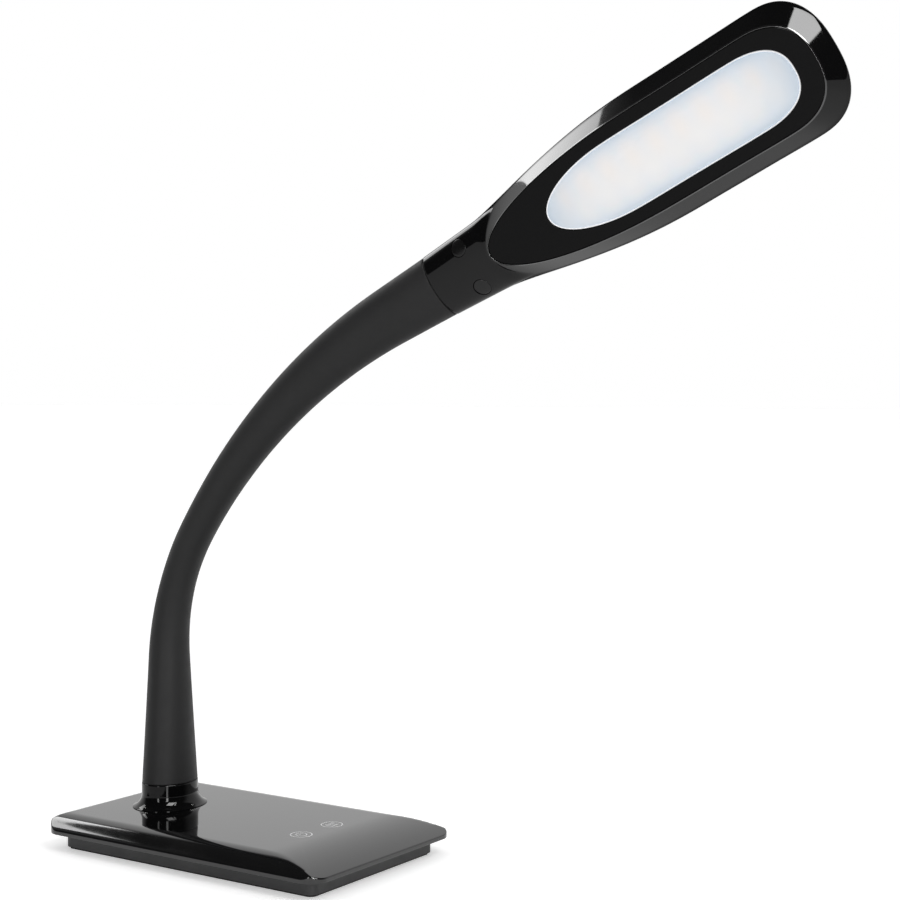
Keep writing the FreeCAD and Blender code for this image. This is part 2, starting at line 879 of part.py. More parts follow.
def neck_foot_bush():
    """Oval bush that centres the core tube in the collar."""
    half_x = collar_half_x - collar_wall - slide_clearance
    half_y = collar_half_y - collar_wall - slide_clearance
    low = ceiling_z + foot_flange_thickness
    body = Part.makeLoft([oval(half_x, half_y, low), oval(half_x, half_y, collar_top_z)], True, True)
    return body.cut(upright(neck_x, 0, low - 1, collar_top_z + 1,
                            foot_tube_radius + slide_clearance))


# Lamp head

def head_axes():
    point, along, width, face = neck_frame(neck_length)
    return point, along, width, face


def head_point(x, y, z):
    point, along, width, face = head_axes()
    return point + along * x + width * y + face * z


def to_head(shape):
    """Carry a shape from the head's own frame to its place on the neck."""
    point, along, width, face = head_axes()
    m = FreeCAD.Matrix(along.x, width.x, face.x, point.x,
                       along.y, width.y, face.y, point.y,
                       along.z, width.z, face.z, point.z,
                       0, 0, 0, 1)
    moved = shape.copy()
    moved.Placement = FreeCAD.Placement(m).multiply(moved.Placement)
    return moved


def end_points(end_x, half, corner_run, steps):
    """Rounded square end, from the full width to the middle."""
    points = []
    for i in range(1, steps):
        a = math.pi / 2 * i / steps
        x = end_x - corner_run + corner_run * math.sin(a) ** (2 / corner_power)
        y = half * math.cos(a) ** (2 / corner_power)
        points.append((x, y))
    points.append((end_x, 0.0))
    return points


def rim_half(x):
    run = max(x - flare_start_x, 0.0) / (flare_end_x - flare_start_x)
    share = smooth(run ** flare_rise_power)
    start = wrist_half_width + wrist_step
    return start + (head_half_width - start) * share


def rim_points(inset):
    """Widest outline of the head, from its tip in the wrist to its far end."""
    points = [(rim_tip_x + inset, 0.0)]
    for share in (0.06, 0.25, 0.6, 1.0):
        x = rim_tip_x + rim_tip_run * share
        points.append((x + inset, (rim_half(x) - inset) * math.sqrt(1 - (1 - share) ** 2)))
    straight_start = rim_tip_x + rim_tip_run
    straight_end = head_end_x - head_end_corner
    steps = 10
    for i in range(1, steps + 1):
        x = straight_start + (straight_end - straight_start) * i / steps
        points.append((x - inset * (2 * i / steps - 1), rim_half(x) - inset))
    points += end_points(head_end_x - inset, head_half_width - inset, head_end_corner - inset, 6)
    return points


def tongue_points(tip_x, end_x, half, tip_run, end_corner, grow):
    """Long tongue outline: an elliptic tip and a rounded square end."""
    tip_x -= grow
    end_x += grow
    half += grow
    points = [(tip_x, 0.0)]
    for i in range(1, 9):
        a = math.pi / 2 * i / 8
        points.append((tip_x + tip_run * (1 - math.cos(a)), half * math.sin(a)))
    flat_start = tip_x + tip_run
    flat_end = end_x - end_corner
    for i in (1, 2, 3):
        points.append((flat_start + (flat_end - flat_start) * i / 3, half))
    return points + end_points(end_x, half, end_corner, 6)


def bezel_points(grow):
    return tongue_points(bezel_tip_x, bezel_end_x, bezel_half_width, bezel_tip_run,
                         bezel_end_corner, grow)


def window_points(grow):
    return tongue_points(window_tip_x, window_end_x, window_half_width, window_tip_run,
                         window_end_corner, grow)


def outline(points, z):
    """Closed smooth wire through one side's points and their mirror image."""
    ring = [V(x, -y, z) for x, y in points]
    ring += [V(x, y, z) for x, y in reversed(points[1:-1])]
    curve = Part.BSplineCurve()
    curve.interpolate(Points=ring, PeriodicFlag=True)
    return Part.Wire(curve.toShape())


def plate(points, z_low, z_high):
    """A flat plate with straight sides on an outline."""
    face = Part.Face(outline(points, z_low))
    return face.extrude(V(0, 0, z_high - z_low))


def front_form(inset):
    """Sloping side walls, from the rim up to the edge of the lit face."""
    low = outline(rim_points(inset), rim_height)
    high = outline(bezel_points(-inset), face_height - inset)
    return Part.makeLoft([low, high], True, True)


def back_form(inset):
    """Rounded back, from the rim down to the flat."""
    wires = [
        outline(rim_points(inset), rim_height),
        outline(rim_points(inset + back_edge_inset), back_edge_height),
        outline(rim_points(inset + back_round_inset), back_round_height + inset * 0.7),
        outline(rim_points(inset + back_flat_inset), back_height + inset),
    ]
    return Part.makeLoft(wires, True, False)


def wrist_wire(x, half_y, half_z):
    points = []
    for i in range(section_points):
        a = 2 * math.pi * i / section_points
        points.append(V(x, half_y * math.cos(a), half_z * math.sin(a)))
    curve = Part.BSplineCurve()
    curve.interpolate(Points=points, PeriodicFlag=True)
    return Part.Wire(curve.toShape())


def wrist_form(inset):
    """Oval wrist between the neck seam and the paddle."""
    start = -1.0 if inset > 0 else 0.0
    return Part.makeLoft([
        wrist_wire(start, wrist_half_width - inset, wrist_half_depth - inset),
        wrist_wire(wrist_reach, wrist_half_width + wrist_growth - inset, wrist_half_depth - inset),
    ], True, True)


def above_rim():
    half = head_half_width + head_margin
    return block(-head_margin, head_end_x + head_margin, -half, half,
                 rim_height, face_height + head_margin)


def below_rim():
    half = head_half_width + head_margin
    return block(-head_margin, head_end_x + head_margin, -half, half,
                 back_height - head_margin, rim_height)


def front_outer(inset):
    return front_form(inset).fuse(wrist_form(inset).common(above_rim()))


def back_outer(inset):
    return back_form(inset).fuse(wrist_form(inset).common(below_rim()))


def plug_places():
    return [(plug_x, -plug_y), (plug_x, plug_y)]


def front_shell():
    outer = front_outer(0.0)
    shell = outer.cut(front_outer(head_wall))
    # ledge under the bezel, which closes the top of the walls
    ledge = plate(bezel_points(-bezel_land), bezel_seat_z - head_wall, bezel_seat_z).common(outer)
    shell = shell.fuse(ledge)
    for x, y in plug_places():
        well = upright(x, y, rim_height, face_height, plug_radius + plug_well_wall)
        shell = shell.fuse(well.common(outer))
    shell = shell.cut(plate(bezel_points(-bezel_land - bezel_ledge), rim_height - 1, face_height + 1))
    shell = shell.cut(plate(bezel_points(-bezel_land), bezel_seat_z, face_height + 1))
    for x, y in plug_places():
        shell = shell.cut(upright(x, y, plug_well_floor, face_height + 2, plug_radius))
        shell = shell.cut(upright(x, y, rim_height - 1, face_height, small_screw_radius + slide_clearance))
    shell = shell.cut(clamp_space())
    return largest(shell)


def back_cover():
    outer = back_outer(0.0)
    shell = outer.cut(back_outer(head_wall))
    for x, y in plug_places():
        boss = upright(x, y, back_height, rim_height, small_screw_radius + boss_wall)
        shell = shell.fuse(boss.common(outer))
    for x, y in spreader_screw_places():
        boss = upright(x, y, back_height, spreader_z, small_screw_radius + boss_wall)
        shell = shell.fuse(boss.common(outer))
    hole = small_screw_radius + pilot_clearance
    for x, y in plug_places():
        shell = shell.cut(upright(x, y, wrist_screw_tip_z - hole_end_gap, rim_height + 1, hole))
    for x, y in spreader_screw_places():
        shell = shell.cut(upright(x, y, spreader_screw_tip_z - hole_end_gap, rim_height + 1, hole))
    shell = shell.cut(clamp_space())
    return largest(shell)


def largest(shape):
    """The shell itself, without loose crumbs left between its cuts."""
    return max(shape.Solids, key=lambda solid: solid.Volume)


def clamp_space():
    half_w = clamp_half_width + slide_clearance
    half_h = clamp_half_height + slide_clearance
    return block(-1.0, clamp_start_x + clamp_length + clamp_end_gap, -half_w, half_w, -half_h, half_h)


def wrist_clamp():
    """Metal block trapped between the shells, which grips the end of the core."""
    body = block(clamp_start_x, clamp_start_x + clamp_length, -clamp_half_width, clamp_half_width,
                 -clamp_half_height, clamp_half_height)
    edges = [e for e in body.Edges if abs(e.tangentAt(e.FirstParameter).x) > 0.5]
    body = body.makeChamfer(clamp_chamfer, edges)
    body = body.cut(rod(V(clamp_start_x - 1, 0, 0), V(clamp_start_x + clamp_length + 1, 0, 0),
                        foot_tube_radius - slide_clearance + pilot_clearance))
    return body


def wrist_screws():
    depth = plug_well_floor - wrist_screw_tip_z
    return Part.makeCompound([
        pan_screw(x, y, plug_well_floor, depth, small_screw_radius, screw_head_radius,
                  screw_head_height, False)
        for x, y in plug_places()
    ])


def wrist_plug(y):
    """Plug over one wrist screw, flush with the shell's own surface."""
    low = plug_well_floor + screw_head_height + plug_height_gap
    body = upright(plug_x, y, low, face_height + 2, plug_radius - slide_clearance)
    return body.common(front_outer(plug_sink))


def bezel():
    body = plate(bezel_points(-bezel_land - slide_clearance), bezel_seat_z, face_height)
    return body.cut(plate(window_points(0.0), bezel_seat_z - 1, face_height + 1))


def diffuser():
    lens = plate(window_points(-slide_clearance), diffuser_flange_z, face_height - diffuser_recess)
    flange = plate(window_points(diffuser_flange), diffuser_flange_z, bezel_seat_z)
    return lens.fuse(flange).removeSplitter()


def reflector_frame():
    outer = plate(window_points(diffuser_flange), reflector_z, diffuser_flange_z)
    return outer.cut(plate(window_points(diffuser_flange - reflector_wall), reflector_z - 1,
                           diffuser_flange_z + 1))


def led_board():
    half = led_board_half_width
    return rounded_slab(led_board_tip_x, led_board_end_x, half, board_corner_radius,
                        led_board_z, reflector_z)


def led_chips(warm):
    """One staggered row of light-emitting chips on the board."""
    chips = []
    start = window_tip_x + led_start_inset
    pitch = (window_end_x - led_end_inset - start) / led_count
    for i in range(led_count):
        x = start + (i + (0.25 if warm else 0.75)) * pitch
        y = led_row_offset if warm else -led_row_offset
        half = led_size / 2
        chips.append(block(x - half, x + half, y - half, y + half, reflector_z,
                           reflector_z + led_height))
    return Part.makeCompound(chips)


def spreader_screw_places():
    x_low = spreader_start_x + spreader_screw_start
    x_high = spreader_end_x - spreader_screw_end_inset
    return [(x, sy * spreader_screw_y) for x in (x_low, x_high) for sy in (-1, 1)]


def heat_spreader():
    slab = rounded_slab(spreader_start_x, spreader_end_x, spreader_half_width, spreader_corner,
                        spreader_z, led_board_z)
    for x, y in spreader_screw_places():
        slab = slab.cut(upright(x, y, spreader_z - 1, led_board_z + 1,
                                small_screw_radius + slide_clearance))
    return slab


def spreader_screws():
    depth = led_board_z - spreader_screw_tip_z
    return Part.makeCompound([
        pan_screw(x, y, led_board_z, depth, small_screw_radius, small_head_radius,
                  small_head_height, False)
        for x, y in spreader_screw_places()
    ])


def lead_connector():
    return block(connector_x, connector_x + connector_length, -connector_half_width,
                 connector_half_width, -connector_half_height, connector_half_height)


def head_lead():
    level = (led_board_z + reflector_z) / 2
    start_x = connector_x + connector_length
    rise_x = start_x + head_lead_level_run
    points = [
        V(start_x, 0, 0),
        V(rise_x, 0, 0),
        V(rise_x + head_lead_rise_run, 0, level),
        V(led_board_tip_x, 0, level),
    ]
    return cable(points, [head_lead_bend, head_lead_bend], head_lead_radius, "head_lead")


# Write every node

save("base_top_cover", top_cover())
save("base_lower_housing", lower_housing())
save("base_foot_mat", foot_mat())
save("base_screws", base_screws())
save("counterweight", counterweight())
save("counterweight_screws", weight_screws())
save("control_board", control_board())
save("control_board_screws", board_screws())
save("board_connector", board_connector())
save("touch_controller_chip", touch_chip())
save("power_choke", power_choke())
save("touch_spring_power", touch_spring(-touch_spacing / 2))
save("touch_spring_brightness", touch_spring(touch_spacing / 2))
save("dc_inlet_body", dc_inlet_body())
save("dc_inlet_pin", dc_inlet_pin())
save("dc_inlet_cradle", inlet_cradle())
save("power_lead", power_lead())
save("neck_mount_plate", mount_plate())
save("neck_mount_screws", mount_screws())
save("neck_lock_washer", lock_washer())
save("neck_lock_nut", lock_nut())
save("neck_foot_bush", neck_foot_bush())
save("neck_sleeve", neck_sleeve())
save("neck_harness", neck_harness())
save("gooseneck_foot", gooseneck_segment(0))
for number in range(1, joint_count):
    save("gooseneck_segment_%d" % number, gooseneck_segment(number))
save("gooseneck_end", gooseneck_segment(joint_count))
save("wrist_clamp", to_head(wrist_clamp()))
save("head_front_shell", to_head(front_shell()))
save("head_back_cover", to_head(back_cover()))
save("head_bezel", to_head(bezel()))
save("head_diffuser", to_head(diffuser()))
save("reflector_frame", to_head(reflector_frame()))
save("led_board", to_head(led_board()))
save("led_chips_warm", to_head(led_chips(True)))
save("led_chips_cool", to_head(led_chips(False)))
save("heat_spreader", to_head(heat_spreader()))
save("heat_spreader_screws", to_head(spreader_screws()))
save("wrist_screws", to_head(wrist_screws()))
save("wrist_plug_left", to_head(wrist_plug(-plug_y)))
save("wrist_plug_right", to_head(wrist_plug(plug_y)))
save("lead_connector", to_head(lead_connector()))
save("head_lead", to_head(head_lead()))
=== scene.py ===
import json
import math

import bmesh
import bpy
import numpy as np
from mathutils import Matrix, Vector


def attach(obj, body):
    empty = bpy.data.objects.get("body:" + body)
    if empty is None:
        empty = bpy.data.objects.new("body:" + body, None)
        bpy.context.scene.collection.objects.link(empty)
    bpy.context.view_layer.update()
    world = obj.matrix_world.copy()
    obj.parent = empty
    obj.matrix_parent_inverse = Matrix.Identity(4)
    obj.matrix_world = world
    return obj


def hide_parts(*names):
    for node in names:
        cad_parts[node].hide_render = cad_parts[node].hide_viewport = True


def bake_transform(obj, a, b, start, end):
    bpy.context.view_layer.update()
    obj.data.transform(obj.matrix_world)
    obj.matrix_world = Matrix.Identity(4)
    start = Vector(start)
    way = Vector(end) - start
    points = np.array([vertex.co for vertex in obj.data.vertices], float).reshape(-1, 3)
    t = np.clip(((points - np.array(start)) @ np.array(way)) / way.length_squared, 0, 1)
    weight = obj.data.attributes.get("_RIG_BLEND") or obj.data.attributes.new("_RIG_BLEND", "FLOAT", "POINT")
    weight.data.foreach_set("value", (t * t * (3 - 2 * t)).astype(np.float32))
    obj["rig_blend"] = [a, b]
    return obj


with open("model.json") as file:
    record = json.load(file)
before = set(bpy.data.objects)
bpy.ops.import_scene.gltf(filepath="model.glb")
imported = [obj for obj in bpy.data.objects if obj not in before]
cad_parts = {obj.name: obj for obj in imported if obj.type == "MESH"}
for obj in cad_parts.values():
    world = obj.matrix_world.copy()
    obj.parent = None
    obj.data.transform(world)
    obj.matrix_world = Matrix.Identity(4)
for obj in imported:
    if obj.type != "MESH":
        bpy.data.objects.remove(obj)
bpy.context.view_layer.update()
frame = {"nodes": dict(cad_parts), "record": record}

bl_info = {
    "name": "Gooseneck desk lamp",
    "version": (1, 0, 0),
    "blender": (4, 5, 0),
    "location": "View3D > Sidebar > Desk lamp",
    "description": "Dresses the desk lamp frame with its shells, sleeve, light and stage",
    "category": "Object",
}

MM = 0.001


# Settings a user would change

def length(name, description, default, low, high):
    return bpy.props.FloatProperty(name=name, description=description, default=default,
                                   min=low, max=high, unit="LENGTH", precision=5)


def colour(name, description, default):
    return bpy.props.FloatVectorProperty(name=name, description=description, default=default,
                                         size=4, min=0.0, max=1.0, subtype="COLOR")


class LampSizes(bpy.types.PropertyGroup):
    """Sizes of the finishing details."""

    edge_round: length("Shell edge round", "Radius on the edges of the glossy shells",
                       0.0006, 0.0001, 0.002)
    seam_round: length("Seam round", "Radius at the seam between sleeve and shells",
                       0.0006, 0.0001, 0.002)
    sleeve_wall: length("Sleeve wall", "Thickness of the soft neck sleeve", 0.0010, 0.0006, 0.0015)
    mark_line: length("Mark line width", "Width of the printed touch mark lines",
                      0.0005, 0.0001, 0.001)
    mark_radius: length("Mark ring radius", "Radius of the ring round each touch mark",
                        0.0057, 0.002, 0.01)


class LampColours(bpy.types.PropertyGroup):
    """Colours of the lamp's finishes."""

    gloss: colour("Gloss shell", "Glossy moulded shell", (0.0028, 0.0028, 0.003, 1))
    sleeve: colour("Neck sleeve", "Soft rubber sleeve", (0.016, 0.016, 0.0165, 1))
    skirt: colour("Base skirt", "Matte lower housing", (0.036, 0.036, 0.037, 1))
    bezel: colour("Bezel", "Flat panel round the light", (0.0028, 0.0028, 0.003, 1))
    lens: colour("Diffuser", "Opal panel over the light", (0.78, 0.81, 0.85, 1))
    mark: colour("Touch marks", "Printed lines of the touch marks", (0.86, 0.86, 0.87, 1))


class StageSettings(bpy.types.PropertyGroup):
    """Camera, lights and floor."""

    lens: bpy.props.FloatProperty(name="Lens", description="Focal length of the camera",
                                  default=71.2, min=20.0, max=200.0, unit="CAMERA")
    sky: bpy.props.FloatProperty(name="Sky strength", description="Soft light from all round",
                                 default=0.66, min=0.0, max=2.0)
    key: bpy.props.FloatProperty(name="Key softbox", description="Power of the softbox overhead",
                                 default=7.0, min=0.0, max=100.0, subtype="POWER")
    glint: bpy.props.FloatProperty(name="Reflected cards",
                                   description="Radiance of the cards that only reflections show",
                                   default=8.0, min=0.0, max=100.0)
    floor: colour("Floor", "Pale floor", (0.92, 0.92, 0.92, 1))


# Lamp form, in millimetres

NECK_X = -57.4
COLLAR_TOP = 32.0
COLLAR_HALF_X = 14.0
COLLAR_HALF_Y = 17.5
COLLAR_WALL = 2.5
COLLAR_FOOT = 1.2
FLARE_RADIUS = 7.5
FLARE_EDGE = 0.4
PLATE_LENGTH = 190.0
PLATE_WIDTH = 121.0
PLATE_CORNER = 10.0
PLATE_BOTTOM = 9.1
PLATE_TOP = 18.4
PLATE_EDGE = 11.4
PLATE_WALL = 2.3
PLATE_LIP = 0.25
SIDE_ROLL = 14.0
REAR_ROLL = 6.0
PLATE_INSETS = (0.7, 0.9, 1.3, 1.8, 2.4, 3.2, 4.0, 5.0, 6.0, 7.0, 8.0, 9.0, 10.0, 11.0, 12.0, 13.0,
                14.0, 15.0, 17.0, 19.0, 21.5, 24.0, 27.0, 30.0, 33.0, 36.0, 38.0, 41.0, 45.0,
                50.0, 55.0, 58.5, PLATE_WIDTH / 2)
FRONT_ROLL = 38.0
FOOT_STRAIGHT = 69.7
BEND_1 = 130.25
TURN_1 = math.radians(33.15)
BEND_2 = 325.2
TURN_2 = math.radians(31.55)
END_STRAIGHT = 34.4
ARC_1 = BEND_1 * TURN_1
ARC_2 = BEND_2 * TURN_2
NECK_LENGTH = FOOT_STRAIGHT + ARC_1 + ARC_2 + END_STRAIGHT
JOINTS = 8
PITCH = (ARC_1 + ARC_2) / (JOINTS - 1)
WAIST_AT = 128.0
WAIST_HALF = 9.6
WAIST_SOFT = 0.3
SLEEVE_STEP = 0.25
SEAM_GAP = 0.4
CABLE_RADIUS = 1.2
CABLE_START = ((14.0, 0, 9.0), (14.0, 0, 5.3), (NECK_X, 0, 5.3))
CABLE_ROUNDS = (2.0, 4.2) + (8.0,) * JOINTS
CABLE_TAIL = 24.0
WRIST_HALF_Y = 16.6
WRIST_HALF_Z = 8.8
WRIST_GROWTH = 2.4
WRIST_REACH = 46.0
TWIST = math.radians(70.0)
TWIST_START = 90.0
TWIST_END = 230.0
FACE_Z = 9.0
RIM_Z = -1.0
BACK_Z = -9.5
HEAD_END = 229.0
HEAD_HALF = 31.6
HEAD_CORNER = 27.0
CORNER_POWER = 2.5
RIM_TIP = 10.0
RIM_TIP_RUN = 18.0
FLARE_FROM = 28.0
FLARE_TO = 135.0
FLARE_POWER = 0.7
WRIST_STEP = 0.8
LAND = 0.7
SEAT_Z = 7.0
WRIST_FADE = 26.0
FRONT_FADE_FROM = 34.0
BACK_FADE = 30.0
BACK_SECTION = ((0, 0.35, 1.0, 2.4, 4.5, 7.5, 11.0, 14.0),
                (1.0, 2.6, 4.5, 6.5, 8.0, 9.0, 9.5, 9.5))
BEZEL = dict(tip=36.5, end=222.0, half=24.6, run=95.5, corner=HEAD_CORNER)
WINDOW = dict(tip=73.4, end=211.0, half=17.3, run=44.0, corner=27.0)
PLUG_X = 22.8
PLUG_Y = 11.2
PLUG_RADIUS = 4.4
PLUG_FLOOR = 3.3
PLUG_SINK = 0.15
PLUG_ROUND = 0.5
PLUG_GAP = 0.1
TOUCH_X = 48.0
TOUCH_HALF_SPACING = 13.0
PRINT_DEPTH = 0.05
PRINT_RISE = 0.02
LED_COUNT = 9
LED_START = WINDOW["tip"] + 9.0
LED_PITCH = (WINDOW["end"] - 8.0 - LED_START) / LED_COUNT
LED_ROW = 5.0
SHARP_ANGLE = math.radians(38.0)
OVAL_POINTS = 96
PANEL_POINTS = 320
SPOKES = 190
PANEL_GAP = 0.1
PANEL_ROUND = 0.28
WINDOW_ROUND = 0.42
LENS_SINK = 0.2
LENS_FLANGE = 3.0
BEAD_GAP = 0.1
BEAD_WIDTH = 0.5
RIM_LINE = ((-0.66, -0.02), (-0.66, 0.36), (-0.62, 0.43), (-0.55, 0.46), (-0.46, 0.46),
            (-0.42, 0.43), (-0.40, 0.41), (-0.05, 0.02), (-0.03, -0.02))

# Tints of the light panel, as shares of the panel's colour, with painted shade at its edges, and the
# strengths of the painted glow (emission) on the panel and its bead
WARM_GLOW = (1.16, 1.02, 0.90)
COOL_GLOW = (1.12, 1.05, 0.97)
PAINTED_EDGE_SHADE = (0.66, 0.74, 0.81)
SPOT_SHARE = 0.7
SPOT_SPREAD = 550.0
SPOT_FALL = -0.04
PAINTED_PANEL_GLOW = 0.27
PAINTED_BEAD_GLOW = 0.3

# Stage, in metres and directions
BACKDROP_SIDE = (-0.5, 0.866, 0.0)
BACKDROP_FADE = (-0.1, 0.35)
BACKDROP_TOP = (0.70, 0.60)
ROOM_LEVEL = 0.06
FLOOR_LIFT = 0.42
KEY_PLACE = (1.15, -0.22, 1.52)
KEY_SIZE = (0.8, 0.8)
CARDS = (("card_top", (1.10, -0.21, 1.46), (0.8, 0.8), 2.2),
         ("card_side", (-4.74, 0.0, 3.85), (3.5, 1.2), 0.8),
         ("card_left", (0.36, -1.35, 0.45), (0.18, 0.8), 1.4),
         ("card_right", (1.15, -0.80, 0.45), (0.18, 0.8), 2.2))
SOFTBOX_AIM = (0.1, 0.0, 0.25)
FLOOR_HALF = 20.0
CAMERA_SENSOR = 36.0
CAMERA_RIGHT = (0.82662, 0.56276, 0.0)
CAMERA_UP = (-0.01947, 0.02859, 0.99940)
CAMERA_BACK = (0.56242, -0.82613, 0.03459)
CAMERA_PLACE = (0.63419, -0.73530, 0.25243)


def smooth(t):
    t = np.clip(t, 0.0, 1.0)
    return t * t * (3 - 2 * t)


def soft_max(a, b, k):
    """The larger of two surfaces with a soft fillet where they cross."""
    h = np.clip(0.5 + 0.5 * (a - b) / k, 0.0, 1.0)
    return b + (a - b) * h + k * h * (1 - h)


def quarter(steps, first=0):
    """Sine and cosine at even steps through a quarter turn."""
    turns = [math.pi / 2 * k / steps for k in range(first, steps + 1)]
    return [(math.sin(a), math.cos(a)) for a in turns]


# Mesh helpers

def link_object(name, data, matrix=None):
    obj = bpy.data.objects.new(name, data)
    bpy.context.scene.collection.objects.link(obj)
    if matrix is not None:
        obj.matrix_world = matrix
    return obj


def mesh_of(name, bm):
    mesh = bpy.data.meshes.new(name)
    bm.to_mesh(mesh)
    bm.free()
    return mesh


def placed(right, up, back, place):
    """A placement from its three axes and its origin."""
    m = Matrix.Identity(4)
    for i in range(3):
        m[i] = (right[i], up[i], back[i], place[i])
    return m


def make_object(name, verts, faces, matrix=None, smooth_faces=True):
    """A closed mesh from points in millimetres."""
    mesh = bpy.data.meshes.new(name)
    mesh.from_pydata([tuple(float(c) * MM for c in v) for v in verts], [], faces)
    bm = bmesh.new()
    bm.from_mesh(mesh)
    bmesh.ops.remove_doubles(bm, verts=bm.verts, dist=1e-7)
    bmesh.ops.dissolve_degenerate(bm, edges=bm.edges, dist=1e-7)
    bmesh.ops.recalc_face_normals(bm, faces=bm.faces)
    for edge in bm.edges:
        edge.smooth = edge.calc_face_angle(math.pi) < SHARP_ANGLE
    bm.to_mesh(mesh)
    bm.free()
    for p in mesh.polygons:
        p.use_smooth = smooth_faces
    return link_object(name, mesh, matrix)


def grid_faces(rows, columns, wrap, start=0):
    """Quads over a grid of points stored row by row."""
    faces = []
    for r in range(rows - 1):
        for c in range(columns if wrap else columns - 1):
            d = (c + 1) % columns
            a = start + r * columns
            faces.append((a + c, a + d, a + columns + d, a + columns + c))
    return faces


def ring_solid(name, rings, matrix=None, close_loop=False, caps=True):
    """A solid through rings of equal point count: a skin, capped or closed on itself."""
    count = len(rings[0])
    verts = [p for ring in rings for p in ring]
    faces = grid_faces(len(rings), count, True)
    last = (len(rings) - 1) * count
    if close_loop:
        for c in range(count):
            d = (c + 1) % count
            faces.append((last + c, last + d, d, c))
    elif caps:
        faces.append(tuple(range(count)))
        faces.append(tuple(last + c for c in range(count)))
    return make_object(name, verts, faces, matrix)


def oval_ring(half_x, half_y, z):
    a = np.linspace(0, 2 * np.pi, OVAL_POINTS, endpoint=False)
    return flat_ring(np.stack([NECK_X + half_x * np.cos(a), half_y * np.sin(a)], 1), z)


def flat_ring(points, z):
    return np.column_stack([points, np.full(len(points), z)])


def dress(obj, body, finish, slot, *nodes):
    """Give a piece its finish and its body, and hide the nodes it stands for; its slot is not used."""
    obj.data.materials.clear()
    obj.data.materials.append(finish_named(finish))
    if "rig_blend" not in obj:
        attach(obj, body)
    if nodes:
        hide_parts(*nodes)
    return obj


# Materials

def new_material(name):
    m = bpy.data.materials.new(name)
    m.use_nodes = True
    return m, m.node_tree


def put(node, values):
    """Set a node's inputs, each to a value or to another node's output."""
    for key, value in values.items():
        if isinstance(value, bpy.types.NodeSocket):
            node.id_data.links.new(value, node.inputs[key])
        else:
            node.inputs[key].default_value = value
    return node


def add(tree, kind, inputs=(), **settings):
    node = tree.nodes.new("ShaderNode" + kind)
    for key, value in settings.items():
        setattr(node, key, value)
    return put(node, dict(inputs))


def calc(tree, operation, a, b=0.5):
    """One step of arithmetic."""
    return add(tree, "Math", {0: a, 1: b}, operation=operation).outputs[0]


def own_place(tree):
    return add(tree, "TexCoord").outputs["Object"]


def noise(tree, scale, detail, stretch=(1, 1, 1)):
    """Noise in the object's own coordinates, in steps per metre."""
    place = add(tree, "Mapping", {"Vector": own_place(tree), "Scale": stretch}).outputs[0]
    tex = add(tree, "TexNoise", {"Vector": place, "Scale": scale, "Detail": detail})
    return tex.outputs["Fac"]


def spread(tree, value, low, high):
    """Carry a 0 to 1 pattern to a range of values."""
    return add(tree, "MapRange", {"Value": value, "From Min": 0.3, "From Max": 0.7,
                                  "To Min": low, "To Max": high}).outputs["Result"]


def vary_colour(tree, value, dark, light):
    return add(tree, "Mix", {"Factor": value, 6: dark, 7: light}, data_type="RGBA").outputs[2]


def shade(c, k):
    return (min(c[0] * k, 1), min(c[1] * k, 1), min(c[2] * k, 1), 1)


def finished(m, values, height, strength, depth):
    """Give a material its shader's values and a fine relief."""
    tree = m.node_tree
    bump = add(tree, "Bump", {"Height": height, "Strength": strength, "Distance": depth})
    put(tree.nodes["Principled BSDF"], {**values, "Normal": bump.outputs["Normal"]})
    return m


def moulded(name, base, rough, grain_scale, grain_depth, rough_range, specular, change=0.12):
    """Moulded plastic or rubber: faint tone and gloss changes and a surface grain."""
    m, tree = new_material(name)
    haze = noise(tree, 160.0, 5.0)
    values = {
        "Base Color": vary_colour(tree, noise(tree, 35.0, 4.0), shade(base, 1 - change),
                                  shade(base, 1 + change)),
        "Roughness": spread(tree, haze, rough - rough_range, rough + rough_range),
        "IOR": 1.5, "Specular IOR Level": specular}
    return finished(m, values, noise(tree, grain_scale, 3.0), 0.5, grain_depth)


def gloss_shell(name, base, specular):
    """High gloss moulded shell with a faint haze and very shallow flow marks."""
    m, tree = new_material(name)
    cloud = noise(tree, 20.0, 3.0)
    values = {"Base Color": vary_colour(tree, cloud, shade(base, 0.85), shade(base, 1.2)),
              "Roughness": spread(tree, noise(tree, 60.0, 6.0), 0.035, 0.085),
              "IOR": 1.52, "Specular IOR Level": specular}
    return finished(m, values, noise(tree, 45.0, 1.0), 0.06, 0.0002)


def brushed(name, base, rough, stretch):
    """Bare or plated metal with a directional brushing."""
    m, tree = new_material(name)
    lines = noise(tree, 220.0, 6.0, stretch)
    values = {"Base Color": vary_colour(tree, lines, shade(base, 0.8), shade(base, 1.1)),
              "Roughness": spread(tree, lines, rough - 0.08, rough + 0.1), "Metallic": 1.0}
    return finished(m, values, lines, 0.3, 0.00004)


def cast_metal(name, base):
    """Painted casting with a pebbled surface."""
    m, tree = new_material(name)
    cells = add(tree, "TexVoronoi", {"Vector": own_place(tree), "Scale": 900.0})
    cloud = noise(tree, 80.0, 5.0)
    values = {"Base Color": vary_colour(tree, cloud, shade(base, 0.7), shade(base, 1.25)),
              "Metallic": 0.6, "Roughness": 0.55}
    return finished(m, values, cells.outputs["Distance"], 0.5, 0.0002)


def circuit_board(name, mask, trace):
    """Solder mask with copper tracks showing through as raised lines."""
    m, tree = new_material(name)
    tracks = add(tree, "TexBrick", {"Vector": own_place(tree), "Scale": 140.0,
                                    "Mortar Size": 0.03}).outputs["Fac"]
    values = {"Base Color": vary_colour(tree, tracks, mask, trace), "Roughness": 0.35}
    return finished(m, values, tracks, 0.4, 0.00004)


